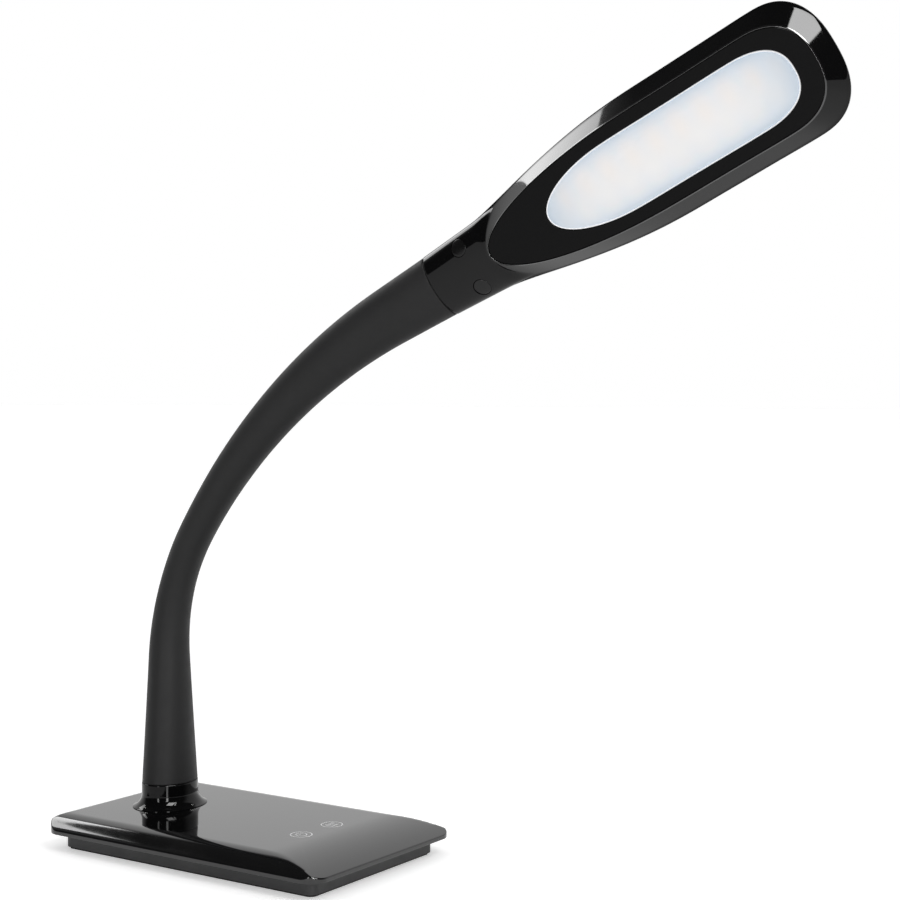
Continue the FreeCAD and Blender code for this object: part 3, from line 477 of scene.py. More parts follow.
def opal_lens(name, base):
    """Frosted panel, its light chips faint warm and cool spots, with painted shade that makes it greyer and
    bluer at its edges, and a painted glow (emission) in the same colours.
    """
    m, tree = new_material(name)
    x, y, _ = add(tree, "SeparateXYZ", {"Vector": own_place(tree)}).outputs

    def step(*values):
        return calc(tree, *values)

    def spots(row_y, shift):
        """Soft dots along one row, one per chip."""
        along = step("SUBTRACT", x, (LED_START + shift * LED_PITCH) * MM)
        along = step("ADD", step("DIVIDE", along, LED_PITCH * MM), 0.5)
        along = step("MULTIPLY", step("SUBTRACT", step("FRACT", along), 0.5), LED_PITCH)
        across = step("MULTIPLY", step("SUBTRACT", y, row_y * MM), SPOT_SPREAD)
        away = step("ADD", step("MULTIPLY", along, along), step("MULTIPLY", across, across))
        dot = step("POWER", 2.718, step("MULTIPLY", away, SPOT_FALL))
        return step("MULTIPLY", dot, SPOT_SHARE)

    middle_x = (WINDOW["tip"] + WINDOW["end"]) / 2
    half_run = (WINDOW["end"] - WINDOW["tip"]) / 2
    off_middle = step("DIVIDE", y, WINDOW["half"] * MM)
    off_end = step("DIVIDE", step("SUBTRACT", x, middle_x * MM), half_run * MM)
    # Painted shade: the panel turns greyer and bluer towards the edges of its window
    edge_shade_mask = step("ADD", step("POWER", step("ABSOLUTE", off_middle), 4.0),
                step("POWER", step("ABSOLUTE", off_end), 5.0))
    edge_shade_mask = step("MINIMUM", step("MAXIMUM", edge_shade_mask, 0.0), 1.0)
    panel_colour_and_painted_glow = vary_colour(tree, noise(tree, 25.0, 2.0), shade(base, 0.99), base)
    for amount, tint in ((spots(LED_ROW, 0.25), WARM_GLOW), (spots(-LED_ROW, 0.75), COOL_GLOW),
                         (edge_shade_mask, PAINTED_EDGE_SHADE)):
        panel_colour_and_painted_glow = vary_colour(tree, amount, panel_colour_and_painted_glow, (*(base[i] * tint[i] for i in range(3)), 1))
    # Painted glow: the panel emits its own colour on top of the light it receives
    values = {"Base Color": panel_colour_and_painted_glow, "Emission Color": panel_colour_and_painted_glow, "Emission Strength": PAINTED_PANEL_GLOW,
              "Roughness": 0.38, "Subsurface Weight": 0.15,
              "Subsurface Radius": (0.003, 0.003, 0.003)}
    return finished(m, values, noise(tree, 2600.0, 2.0), 0.15, 0.00003)


def painted_glow_edge(name, base):
    """Bright moulded plastic with a painted glow (emission) in its own colour."""
    m = moulded(name, base, 0.4, 1500.0, 0.00003, 0.05, 0.4, 0.02)
    # Painted glow: the bead emits its own colour
    put(m.node_tree.nodes["Principled BSDF"], {"Emission Color": base,
                                               "Emission Strength": PAINTED_BEAD_GLOW})
    return m


FINISHES = {
    "gloss": (gloss_shell, "Black gloss plate", "gloss", 0.6),
    "shell": (gloss_shell, "Black gloss shell", "gloss", 0.22),
    "polish": (gloss_shell, "Polished black edge", "gloss", 1.0),
    "collar": (gloss_shell, "Black gloss collar", "gloss", 0.16),
    "bezel": (gloss_shell, "Black panel", "bezel", 0.085),
    "sleeve": (moulded, "Soft sleeve rubber", "sleeve", 0.52, 2400.0, 0.00012, 0.05, 0.22),
    "skirt": (moulded, "Matte skirt plastic", "skirt", 0.5, 1800.0, 0.0001, 0.06, 0.4),
    "rubber": (moulded, "Base mat rubber", (0.012, 0.012, 0.012, 1), 0.75, 1500.0, 0.0002,
               0.05, 0.3),
    "resin": (moulded, "Moulded resin", (0.010, 0.010, 0.011, 1), 0.42, 2000.0, 0.00008,
              0.05, 0.4),
    "plug": (moulded, "Plug rubber", (0.005, 0.005, 0.0052, 1), 0.2, 1900.0, 0.00003, 0.04,
             0.28),
    "jacket": (moulded, "Cable jacket", (0.014, 0.014, 0.015, 1), 0.4, 1500.0, 0.0001, 0.05,
               0.4),
    "white": (moulded, "White moulding", (0.8, 0.8, 0.8, 1), 0.5, 1500.0, 0.0001, 0.05, 0.4,
              0.03),
    "phosphor_warm": (moulded, "Warm phosphor", (0.86, 0.62, 0.16, 1), 0.3, 1500.0, 0.0001,
                      0.05, 0.5),
    "phosphor_cool": (moulded, "Cool phosphor", (0.85, 0.85, 0.45, 1), 0.3, 1500.0, 0.0001,
                      0.05, 0.5),
    "mark": (moulded, "Printed mark", "mark", 0.45, 1500.0, 0.00001, 0.05, 0.4),
    "steel": (brushed, "Zinc plated steel", (0.55, 0.55, 0.53, 1), 0.32, (1, 1, 14)),
    "sheet": (brushed, "Aluminium sheet", (0.78, 0.78, 0.79, 1), 0.34, (14, 1, 1)),
    "brass": (brushed, "Contact brass", (0.72, 0.5, 0.2, 1), 0.25, (1, 8, 1)),
    "iron": (cast_metal, "Painted iron weight", (0.06, 0.06, 0.065, 1)),
    "board": (circuit_board, "Green circuit board", (0.01, 0.09, 0.03, 1), (0.03, 0.2, 0.07, 1)),
    "white_board": (circuit_board, "White circuit board", (0.75, 0.76, 0.75, 1),
                    (0.62, 0.6, 0.52, 1)),
    "lens": (opal_lens, "Opal diffuser", "lens"),
    "bead": (painted_glow_edge, "Lit edge", (0.9, 0.9, 0.91, 1)),
}
MATERIALS = {}


def finish_named(name):
    """The lamp's finishes, made once each."""
    if name not in MATERIALS:
        maker, label, base, *values = FINISHES[name]
        if isinstance(base, str):
            base = getattr(bpy.context.scene.lamp_colours, base)
        MATERIALS[name] = maker(label, base, *values)
    return MATERIALS[name]


# Base plate and collar

def rolled_down(u, back, front, back_run, front_run):
    """How far a plate section has rolled down from its flat middle."""
    drop = PLATE_TOP - PLATE_EDGE
    into_front = np.maximum(u - (front - front_run), 0.0)
    into_back = np.maximum(-back + back_run - u, 0.0)
    lowered = 0.0
    for into, run in ((into_front, front_run), (into_back, back_run)):
        radius = (run * run + drop * drop) / (2 * drop)
        lowered = lowered + radius - np.sqrt(np.maximum(radius ** 2 - into ** 2, 1.0))
    return lowered


def plate_height(x, y):
    """Top of the plate, with the rolls of neighbouring sides blended softly."""
    half_l = PLATE_LENGTH / 2
    half_w = PLATE_WIDTH / 2
    along = rolled_down(x, half_l, half_l, REAR_ROLL, FRONT_ROLL)
    across = rolled_down(y, half_w, half_w, SIDE_ROLL, SIDE_ROLL)
    soft = 1e-6 + 0.9 * np.minimum(along, across) / (PLATE_TOP - PLATE_EDGE)
    return PLATE_TOP - soft_max(along, across, soft)


def plate_ring(inset, z=None, drop=0.0):
    """Rounded rectangle at an inset, either flat or laid on the plate's top."""
    half_l = PLATE_LENGTH / 2 - inset
    half_w = PLATE_WIDTH / 2 - inset
    r = min(max(PLATE_CORNER - inset, 1.5), half_w)
    points = []
    corners = ((half_l - r, half_w - r, 0), (-half_l + r, half_w - r, 90),
               (-half_l + r, -half_w + r, 180), (half_l - r, -half_w + r, 270))
    for n, (cx, cy, start) in enumerate(corners):
        for k in range(17):
            a = math.radians(start + 90 * k / 16)
            points.append((cx + r * math.cos(a), cy + r * math.sin(a)))
        nx, ny, _ = corners[(n + 1) % 4]
        a = math.radians(start + 90)
        here = np.array([cx + r * math.cos(a), cy + r * math.sin(a)])
        there = np.array([nx + r * math.cos(a), ny + r * math.sin(a)])
        for k in range(1, 40):
            points.append(tuple(here + (there - here) * k / 40))
    points = np.array(points)
    if z is None:
        z = plate_height(points[:, 0], points[:, 1]) - drop
    return np.column_stack([points, np.broadcast_to(z, len(points))])


def build_base_plate(sizes):
    """Dished cover from its middle line over the rolled edge and back along its lining."""
    soft = sizes.edge_round / MM
    rings = [plate_ring(i) for i in reversed(PLATE_INSETS)]
    for sine, cosine in quarter(6)[5:0:-1]:
        ring = plate_ring(soft * (1 - cosine))
        ring[:, 2] -= soft * (1 - sine) * 0.62
        rings.append(ring)
    lip = PLATE_BOTTOM + PLATE_LIP
    for part in (0.93, 0.5):
        ring = plate_ring(0.0)
        ring[:, 2] = lip + (ring[:, 2] - soft - lip) * part
        rings.append(ring)
    rings += [plate_ring(0.0, lip), plate_ring(0.08, PLATE_BOTTOM + 0.08),
              plate_ring(PLATE_LIP, PLATE_BOTTOM), plate_ring(PLATE_WALL + 0.2, PLATE_BOTTOM)]
    rings += [plate_ring(i, drop=PLATE_WALL) for i in PLATE_INSETS if i >= PLATE_WALL]
    return ring_solid("base_plate", rings, caps=False)


def build_collar(sizes):
    """Collar that flares out of the plate and rounds in at the sleeve."""
    soft = sizes.seam_round / MM
    out = FLARE_RADIUS - math.sqrt(FLARE_RADIUS ** 2 - (FLARE_RADIUS - FLARE_EDGE) ** 2)
    foot = PLATE_TOP - COLLAR_FOOT
    profile = [(-COLLAR_WALL, foot), (out, foot), (out, PLATE_TOP + FLARE_EDGE * 0.5),
               (out, PLATE_TOP + FLARE_EDGE * 0.8)]
    low = math.asin(1 - FLARE_EDGE / FLARE_RADIUS)
    for k in range(1, 22):
        a = math.pi / 2 - low + low * k / 21
        profile.append((FLARE_RADIUS * (1 - math.sin(a)),
                        PLATE_TOP + FLARE_RADIUS * (1 - math.cos(a))))
    profile.append((0.0, COLLAR_TOP - soft * 1.6))
    profile += [(-soft * (1 - cosine), COLLAR_TOP - soft + soft * sine)
                for sine, cosine in quarter(5)]
    profile.append((-COLLAR_WALL, COLLAR_TOP))
    rings = [oval_ring(COLLAR_HALF_X + grow, COLLAR_HALF_Y + grow, z) for grow, z in profile]
    return ring_solid("neck_collar", rings, close_loop=True)


def flat_strip(points, width, z_low, z_high, closed):
    """A thin printed line along a path on the plate."""
    p = np.array(points, float)
    count = len(p)
    if closed:
        tangent = np.roll(p, -1, 0) - np.roll(p, 1, 0)
    else:
        tangent = np.gradient(p, axis=0)
    tangent /= np.linalg.norm(tangent, axis=1)[:, None]
    side = np.stack([-tangent[:, 1], tangent[:, 0]], 1) * width / 2
    verts = []
    for offset, z in ((side, z_high), (-side, z_high), (-side, z_low), (side, z_low)):
        verts += [(x, y, z) for x, y in p + offset]
    faces = []
    for c in range(count if closed else count - 1):
        d = (c + 1) % count
        for r in range(4):
            a = r * count
            b = (r + 1) % 4 * count
            faces.append((a + c, a + d, b + d, b + c))
    if not closed:
        last = count - 1
        faces.append((0, count, 2 * count, 3 * count))
        faces.append((last, 3 * count + last, 2 * count + last, count + last))
    return verts, faces


def join_strips(name, strips):
    verts = []
    faces = []
    for more_verts, more_faces in strips:
        start = len(verts)
        verts += more_verts
        faces += [tuple(start + i for i in f) for f in more_faces]
    return make_object(name, verts, faces, smooth_faces=False)


def arc(cx, cy, radius, start, end, count):
    a = np.radians(np.linspace(start, end, count))
    return np.stack([cx + radius * np.cos(a), cy + radius * np.sin(a)], 1)


def build_mark(name, y, symbol, sizes):
    """A printed ring with a power sign or a light-level sign inside."""
    r = sizes.mark_radius / MM
    lines = [(arc(TOUCH_X, y, r, 0, 354.375, 64), True)]
    if symbol == "power":
        lines.append((arc(TOUCH_X, y, r * 0.52, 218, 502, 40), False))
        lines.append(([(TOUCH_X - r * share, y) for share in (0.05, 0.35, 0.66)], False))
    else:
        corners = ((-0.42, -0.5), (0.42, -0.5), (0.42, 0.5), (-0.42, -0.5))
        wedge = [(TOUCH_X + r * (ax + (bx - ax) * k / 8), y + r * (ay + (by - ay) * k / 8))
                 for (ax, ay), (bx, by) in zip(corners, corners[1:]) for k in range(8)]
        lines.append((wedge, True))
        for rise in (0.07, 0.29, 0.51):
            dash = [(TOUCH_X - r * share, y + r * rise) for share in (0.45, 0.3, 0.12)]
            lines.append((dash, False))
    return join_strips(name, [flat_strip(points, sizes.mark_line / MM, PLATE_TOP - PRINT_DEPTH,
                                         PLATE_TOP + PRINT_RISE, closed)
                              for points, closed in lines])


# Neck line, sleeve and cable

def neck_at(s):
    """Point on the neck line and its rise, s millimetres above the collar."""
    if s <= FOOT_STRAIGHT:
        return np.array([NECK_X, 0.0, COLLAR_TOP + s]), math.pi / 2
    angle = min(s - FOOT_STRAIGHT, ARC_1) / BEND_1
    x = NECK_X + BEND_1 - BEND_1 * math.cos(angle)
    z = COLLAR_TOP + FOOT_STRAIGHT + BEND_1 * math.sin(angle)
    s -= FOOT_STRAIGHT + ARC_1
    if s <= 0:
        return np.array([x, 0.0, z]), math.pi / 2 - angle
    more = min(s, ARC_2) / BEND_2
    x += BEND_2 * (math.cos(angle) - math.cos(angle + more))
    z += BEND_2 * (math.sin(angle + more) - math.sin(angle))
    rise = math.pi / 2 - angle - more
    s -= ARC_2
    if s > 0:
        x += s * math.cos(rise)
        z += s * math.sin(rise)
    return np.array([x, 0.0, z]), rise


def neck_frame(s):
    point, rise = neck_at(s)
    along = np.array([math.cos(rise), 0.0, math.sin(rise)])
    down = np.array([math.sin(rise), 0.0, -math.cos(rise)])
    turn = TWIST * smooth((s - TWIST_START) / (TWIST_END - TWIST_START))
    face = down * math.cos(turn) - np.array([0.0, 1.0, 0.0]) * math.sin(turn)
    return point, along, np.cross(face, along), face


def waist_rise(t):
    full = math.sqrt(1 + WAIST_SOFT ** 2) - WAIST_SOFT
    return (math.sqrt(t * t + WAIST_SOFT ** 2) - WAIST_SOFT) / full


def sleeve_halves(s):
    if s < WAIST_AT:
        share = waist_rise((WAIST_AT - s) / WAIST_AT)
        ends = (COLLAR_HALF_Y - SLEEVE_STEP, COLLAR_HALF_X - SLEEVE_STEP)
    else:
        share = waist_rise((s - WAIST_AT) / (NECK_LENGTH - WAIST_AT))
        ends = (WRIST_HALF_Y - SLEEVE_STEP, WRIST_HALF_Z - SLEEVE_STEP)
    return [WAIST_HALF + (end - WAIST_HALF) * share for end in ends]


def sleeve_ring(s, inset, count=96):
    point, _, width, face = neck_frame(s)
    half_w, half_d = sleeve_halves(s)
    turn = TWIST * smooth((s - TWIST_START) / (TWIST_END - TWIST_START))
    a = np.linspace(0, 2 * np.pi, count, endpoint=False) + turn
    return (point + np.outer(np.cos(a) * (half_w - inset), width)
            + np.outer(np.sin(a) * (half_d - inset), face))


def sleeve_normals(s):
    """Outward directions of the sleeve's skin, so that pieces shade as one."""
    step = 0.5
    ring = sleeve_ring(s, 0.0)
    ahead = sleeve_ring(s + step, 0.0) - sleeve_ring(s - step, 0.0)
    round_it = np.roll(ring, -1, 0) - np.roll(ring, 1, 0)
    normal = np.cross(round_it, ahead)
    return normal / np.linalg.norm(normal, axis=1)[:, None]


def piece_spans():
    """Stretches of the neck from middle of link to middle of link."""
    edges = [0.0]
    edges += [FOOT_STRAIGHT + (k - 0.5) * PITCH for k in range(JOINTS + 1)]
    edges.append(NECK_LENGTH - SEAM_GAP)
    return list(zip(edges, edges[1:]))


def build_sleeve_piece(index, start, end, wall, soft):
    steps = max(4, int((end - start) / 2.0))
    stations = list(np.linspace(start, end, steps + 1))
    outer = [(s, 0.0) for s in stations]
    bevel = ((0.0, soft), (0.1 * soft, 0.5 * soft), (0.4 * soft, 0.15 * soft), (soft, 0.0),
             (2 * soft, 0.0))
    if index == 0:
        outer = [(start + run, inset) for run, inset in bevel] + outer[1:]
    if index == JOINTS + 1:
        outer = outer[:-1] + [(end - run, inset) for run, inset in reversed(bevel)]
    rings = [sleeve_ring(s, inset) for s, inset in outer]
    rings += [sleeve_ring(s, wall) for s in reversed(stations)]
    obj = ring_solid("sleeve_piece_%d" % index, rings, close_loop=True)
    shade_sleeve(obj, outer)
    return obj


def shade_sleeve(obj, outer):
    """Give the skin its true normals and leave the ends and bore as they are."""
    from_skin = {}
    for s, inset in outer:
        if inset == 0.0:
            ring = sleeve_ring(s, 0.0) * MM
            for p, n in zip(ring, sleeve_normals(s)):
                from_skin[tuple(np.round(p, 6))] = n
    mesh = obj.data
    normals = [tuple(n.vector) for n in mesh.corner_normals]
    for loop in mesh.loops:
        key = tuple(np.round(np.array(mesh.vertices[loop.vertex_index].co), 6))
        if key in from_skin:
            normals[loop.index] = tuple(from_skin[key])
    for poly in mesh.polygons:
        skin = all(tuple(np.round(np.array(mesh.vertices[v].co), 6)) in from_skin
                   for v in poly.vertices)
        if not skin:
            for i in poly.loop_indices:
                normals[i] = tuple(poly.normal)
    mesh.normals_split_custom_set(normals)


def body_names():
    return ["base"] + ["link_%d" % i for i in range(1, JOINTS)] + ["head"]


def cable_line():
    """The cable's line through every joint, rounded at each one."""
    corner = [np.array(place) for place in CABLE_START]
    corner += [neck_at(FOOT_STRAIGHT + i * PITCH)[0] for i in range(JOINTS)]
    point, along, _, _ = neck_frame(NECK_LENGTH)
    corner.append(point + along * CABLE_TAIL)
    line = [corner[0]]
    joints = []
    for i in range(1, len(corner) - 1):
        before = corner[i] - corner[i - 1]
        after = corner[i + 1] - corner[i]
        a = corner[i] - before / np.linalg.norm(before) * CABLE_ROUNDS[i - 1]
        b = corner[i] + after / np.linalg.norm(after) * CABLE_ROUNDS[i - 1]
        for t in np.linspace(0, 1, 9):
            line.append(a * (1 - t) ** 2 + corner[i] * 2 * t * (1 - t) + b * t * t)
        if i >= 3:
            joints.append(len(line) - 5)
    line.append(corner[-1])
    return np.array(line), joints


def tube_rings(line, radius, count=14):
    """Rings round a line, each turned as little as can be from the one before."""
    rings = []
    side = np.array([0.0, 1.0, 0.0])
    for i in range(len(line)):
        ahead = line[min(i + 1, len(line) - 1)] - line[max(i - 1, 0)]
        ahead /= np.linalg.norm(ahead)
        side = side - ahead * (side @ ahead)
        side /= np.linalg.norm(side)
        other = np.cross(ahead, side)
        a = np.linspace(0, 2 * np.pi, count, endpoint=False)
        rings.append(line[i] + radius * (np.outer(np.cos(a), side) + np.outer(np.sin(a), other)))
    return rings


# Head form, in the head's own frame

def head_matrix():
    point, along, width, face = neck_frame(NECK_LENGTH)
    return placed(along, width, face, point * MM)


def closed_curve(points, count):
    """Smooth closed cubic through points, evaluated evenly along its length."""
    p = np.array(points, float)
    n = len(p)
    h = np.linalg.norm(np.roll(p, -1, 0) - p, axis=1)
    a = np.zeros((n, n))
    rhs = np.zeros((n, 2))
    for i in range(n):
        prev = (i - 1) % n
        a[i, prev] = h[prev]
        a[i, i] = 2 * (h[prev] + h[i])
        a[i, (i + 1) % n] = h[i]
        rhs[i] = 6 * ((p[(i + 1) % n] - p[i]) / h[i] - (p[i] - p[prev]) / h[prev])
    m = np.linalg.solve(a, rhs)
    dense = []
    for i in range(n):
        j = (i + 1) % n
        for t in np.linspace(0, h[i], 24, endpoint=False):
            dense.append(m[i] * (h[i] - t) ** 3 / (6 * h[i]) + m[j] * t ** 3 / (6 * h[i])
                         + (p[i] / h[i] - m[i] * h[i] / 6) * (h[i] - t)
                         + (p[j] / h[i] - m[j] * h[i] / 6) * t)
    dense = np.array(dense)
    if count == 0:
        return dense
    return even_steps(np.vstack([dense, dense[:1]]), count + 1)[:-1]


def even_steps(line, count):
    run = np.concatenate([[0], np.cumsum(np.linalg.norm(np.diff(line, axis=0), axis=1))])
    at = np.linspace(0, run[-1], count)
    return np.stack([np.interp(at, run, line[:, k]) for k in range(line.shape[1])], 1)


def end_points(end_x, half, corner_run, steps):
    points = []
    for i in range(1, steps):
        a = math.pi / 2 * i / steps
        points.append((end_x - corner_run + corner_run * math.sin(a) ** (2 / CORNER_POWER),
                       half * math.cos(a) ** (2 / CORNER_POWER)))
    return points + [(end_x, 0.0)]


def rim_half(x):
    start = WRIST_HALF_Y + WRIST_STEP
    run = max(x - FLARE_FROM, 0.0) / (FLARE_TO - FLARE_FROM)
    return start + (HEAD_HALF - start) * float(smooth(run ** FLARE_POWER))


def both_sides(points):
    return [(x, -y) for x, y in points] + [(x, y) for x, y in reversed(points[1:-1])]


def rim_curve(inset=0.0, count=0):
    points = [(RIM_TIP + inset, 0.0)]
    for share in (0.06, 0.25, 0.6, 1.0):
        x = RIM_TIP + RIM_TIP_RUN * share
        points.append((x + inset, (rim_half(x) - inset) * math.sqrt(1 - (1 - share) ** 2)))
    start = RIM_TIP + RIM_TIP_RUN
    end = HEAD_END - HEAD_CORNER
    for i in range(1, 11):
        x = start + (end - start) * i / 10
        points.append((x - inset * (2 * i / 10 - 1), rim_half(x) - inset))
    points += end_points(HEAD_END - inset, HEAD_HALF - inset, HEAD_CORNER - inset, 6)
    return closed_curve(both_sides(points), count)


def tongue_curve(shape, grow, count=0):
    tip = shape["tip"] - grow
    end = shape["end"] + grow
    half = shape["half"] + grow
    points = [(tip, 0.0)]
    for i in range(1, 9):
        a = math.pi / 2 * i / 8
        points.append((tip + shape["run"] * (1 - math.cos(a)), half * math.sin(a)))
    start = tip + shape["run"]
    stop = end - shape["corner"]
    points += [(start + (stop - start) * i / 3, half) for i in (1, 2, 3)]
    points += end_points(end, half, shape["corner"], 6)
    return closed_curve(both_sides(points), count)


def to_curve(points, curve):
    """Distance from points to a closed curve, and whether each is inside it."""
    a = curve
    b = np.roll(curve, -1, 0)
    d = b - a
    far = np.full(len(points), 1e9)
    inside = np.zeros(len(points), bool)
    for start in range(0, len(points), 2000):
        q = points[start:start + 2000]
        rel = q[:, None, :] - a[None]
        t = np.clip((rel * d).sum(2) / (d * d).sum(1), 0, 1)
        gap = np.linalg.norm(rel - t[..., None] * d, axis=2)
        far[start:start + 2000] = gap.min(1)
        cross = ((a[:, 1] > q[:, 1:2]) != (b[:, 1] > q[:, 1:2]))
        slope = np.where(np.abs(d[:, 1]) < 1e-12, 1e-12, d[:, 1])
        hit = q[:, :1] < a[:, 0] + (q[:, 1:2] - a[:, 1]) * d[:, 0] / slope
        inside[start:start + 2000] = (cross & hit).sum(1) % 2 == 1
    return far, inside


def wrist_half_at(x):
    return WRIST_HALF_Y + WRIST_GROWTH * np.clip(x / WRIST_REACH, 0, 1)


def wrist_height(x, y, power):
    """Height of the oval wrist above its middle plane, with a soft roof line."""
    share = np.clip(np.abs(y) / wrist_half_at(x), 0, 1)
    return WRIST_HALF_Z * (1 - share ** power) ** (1 / power)


def front_height(p, rim, edge):
    """Height of the front shell over the rim plane, before its flat land."""
    x = p[:, 0]
    y = p[:, 1]
    out, inside = to_curve(p, rim)
    to_edge, on_land = to_curve(p, edge)
    wall = RIM_Z + (FACE_Z - RIM_Z) * out / np.maximum(out + to_edge, 1e-6)
    wall = np.where(inside, wall, RIM_Z - out)
    wall = np.where(on_land, FACE_Z, wall)
    past = smooth((x - FRONT_FADE_FROM) / WRIST_FADE)
    wrist = wrist_height(x, y, 1.9) * (1 - past) + RIM_Z * past
    k = 0.3 + 1.6 * np.clip(to_edge / 6.0, 0, 1)
    return np.minimum(soft_max(wall, wrist, k), FACE_Z)


def back_height(p, rim):
    """Depth of the back cover under the rim plane."""
    out, inside = to_curve(p, rim)
    out = np.where(inside, out, 0.0)
    depth = np.interp(out, *BACK_SECTION)
    x = p[:, 0]
    wrist = wrist_height(x, p[:, 1], 2.0) * (1 - smooth((x - BACK_FADE) / BACK_FADE))
    return -np.minimum(soft_max(depth, wrist, 1.2), -BACK_Z)


def plan_half(count):
    """The head's widest outline on its +y side, from the seam round to the far end."""
    rim = rim_curve()
    side = rim[rim[:, 1] >= -1e-9]
    side = side[np.argsort(np.arctan2(side[:, 1], side[:, 0] - 120.0))][::-1]
    x = np.linspace(0.0, 60.0, 61)
    wrist = wrist_half_at(x) * math.sqrt(1 - (RIM_Z / WRIST_HALF_Z) ** 2)
    by_x = side[np.argsort(side[:, 0])]
    by_x = by_x[by_x[:, 0] < 70.0]
    paddle = np.interp(x, by_x[:, 0], by_x[:, 1])
    both = soft_max(paddle, wrist, 0.6)
    keep = 1 - smooth((x - 40.0) / 18.0)
    near = np.stack([x, paddle + (both - paddle) * keep], 1)
    line = np.vstack([near, side[side[:, 0] > 60.5]])
    return even_steps(line, count)


def half_of(curve, count):
    """The +y side of a closed outline, from its tip round to its end, in even steps."""
    side = curve[curve[:, 1] > 1e-6]
    side = side[np.argsort(np.arctan2(side[:, 1], side[:, 0] - side[:, 0].mean()))[::-1]]
    side = np.vstack([[curve[:, 0].min(), 0.0], side, [curve[:, 0].max(), 0.0]])
    return even_steps(side, count)


def moved_inward(line, distance):
    """An outline's +y side moved towards the middle of the head."""
    ahead = np.gradient(line, axis=0)
    ahead /= np.linalg.norm(ahead, axis=1)[:, None]
    side = np.stack([ahead[:, 1], -ahead[:, 0]], 1)
    side[0] = (0.0, -1.0)
    side[-1] = (-1.0, 0.0)
    out = line + side * distance
    out[:, 1] = np.maximum(out[:, 1], 0.0)
    out[-1, 1] = 0.0
    return out


def round_seam(rows, soft):
    """Round the shell's edge where it meets the neck sleeve."""
    depth = np.clip(1 - rows[..., 0] / soft, 0, 1)
    pull = soft * (1 - np.sqrt(1 - depth ** 2))
    reach = np.maximum(np.hypot(rows[..., 1], rows[..., 2]), 1e-6)
    rows[..., 1] *= 1 - pull / reach
    rows[..., 2] *= 1 - pull / reach
    return rows


def head_spokes(soft, count):
    """Ends of the spokes across half the head: rim points and, past the tip, bezel points."""
    rim = plan_half(1200)
    near = [0.0, 0.08 * soft, 0.3 * soft, 0.6 * soft, soft, 1.6 * soft]
    near += list(np.linspace(2.0, BEZEL["tip"] - 1.2, 26))
    by_x = rim[:600]
    first = np.stack([near, np.interp(near, by_x[:, 0], by_x[:, 1])], 1)
    past = rim[rim[:, 0] >= BEZEL["tip"]]
    past = np.vstack([[BEZEL["tip"], np.interp(BEZEL["tip"], by_x[:, 0], by_x[:, 1])], past])
    return np.vstack([first, even_steps(past, count)]), len(near)


def build_front_shell(sizes):
    """Wrist and paddle above the rim, open under the bezel."""
    soft = sizes.seam_round / MM
    outer, tip = head_spokes(soft, SPOKES)
    rim = rim_curve()
    edge = tongue_curve(BEZEL, 0.0)
    ridge = np.stack([outer[:tip, 0], np.zeros(tip)], 1)

    def hole(inset):
        return np.vstack([ridge, half_of(tongue_curve(BEZEL, -inset), SPOKES)])

    inner = hole(0.0)
    shares = np.concatenate([np.linspace(0, 1, 27)[1:-1] ** 2, [0.965, 0.99, 1.0]])
    rows = [(moved_inward(outer, 0.12), "rim", 0.0), (moved_inward(outer, 0.03), "rim", 0.05),
            (outer, "rim", 0.16)]
    rows += [(outer + (inner - outer) * t, "skin", 0.0) for t in shares]
    skin_end = len(rows) - 1
    rows += [(hole(0.2), "flat", 0.0), (hole(LAND - 0.18), "flat", 0.0),
             (hole(LAND - 0.05), "flat", 0.05), (hole(LAND), "flat", 0.2),
             (hole(LAND), "flat", FACE_Z - SEAT_Z + 0.2)]
    lining_start = len(rows)
    lining_out = moved_inward(outer, PLATE_WALL)
    lining_in = hole(LAND)
    rows += [(lining_in + (lining_out - lining_in) * t, "lining", 0.0)
             for t in np.concatenate([[0.0], np.linspace(0, 1, 16)[1:]])]
    rows.append((lining_out, "rim", 0.0))
    grid = []
    for plan, kind, lower in rows:
        if kind == "rim":
            z = np.full(len(plan), RIM_Z + lower)
        elif kind == "flat":
            z = np.full(len(plan), FACE_Z - lower)
            z[:tip] = front_height(inner[:tip], rim, edge)
        elif kind == "skin":
            z = np.maximum(front_height(plan, rim, edge), RIM_Z + 0.2)
        else:
            z = np.maximum(front_height(plan, rim, edge) - PLATE_WALL, RIM_Z + 0.1)
            z = np.minimum(z, SEAT_Z - 0.2)
        grid.append(np.column_stack([plan, z]))
    return shell_from_rows("head_front", grid, tip, (skin_end, lining_start), soft)


def shell_from_rows(name, grid, tip, hole_rows, soft):
    """Closed shell from rows that run along half the head, mirrored to the other half."""
    grid = round_seam(np.array(grid), soft)
    rows, spokes, _ = grid.shape
    other = grid * np.array([1, -1, 1])
    verts = np.concatenate([grid.reshape(-1, 3), other.reshape(-1, 3)])
    faces = []
    for side in (0, rows * spokes):
        for r in range(rows):
            q = (r + 1) % rows
            for s in range(spokes - 1):
                if hole_rows[0] <= r < hole_rows[1] and s < tip:
                    continue
                faces.append((side + r * spokes + s, side + r * spokes + s + 1,
                              side + q * spokes + s + 1, side + q * spokes + s))
        # end at the neck: skin rows paired with lining rows
        front = [side + r * spokes for r in range(hole_rows[0] + 1)]
        back = [side + r * spokes for r in range(rows - 1, hole_rows[1] - 1, -1)]
        faces += bridge(verts, front, back)
    return make_object(name, list(verts), faces, head_matrix())


def bridge(verts, a, b):
    """Triangles between two chains of points that run side by side."""
    faces = []
    i = j = 0
    while i < len(a) - 1 or j < len(b) - 1:
        step_a = i < len(a) - 1
        if step_a and j < len(b) - 1:
            step_a = (np.linalg.norm(verts[a[i + 1]] - verts[b[j]])
                      < np.linalg.norm(verts[a[i]] - verts[b[j + 1]]))
        if step_a:
            faces.append((a[i], a[i + 1], b[j]))
            i += 1
        else:
            faces.append((a[i], b[j + 1], b[j]))
            j += 1
    return faces


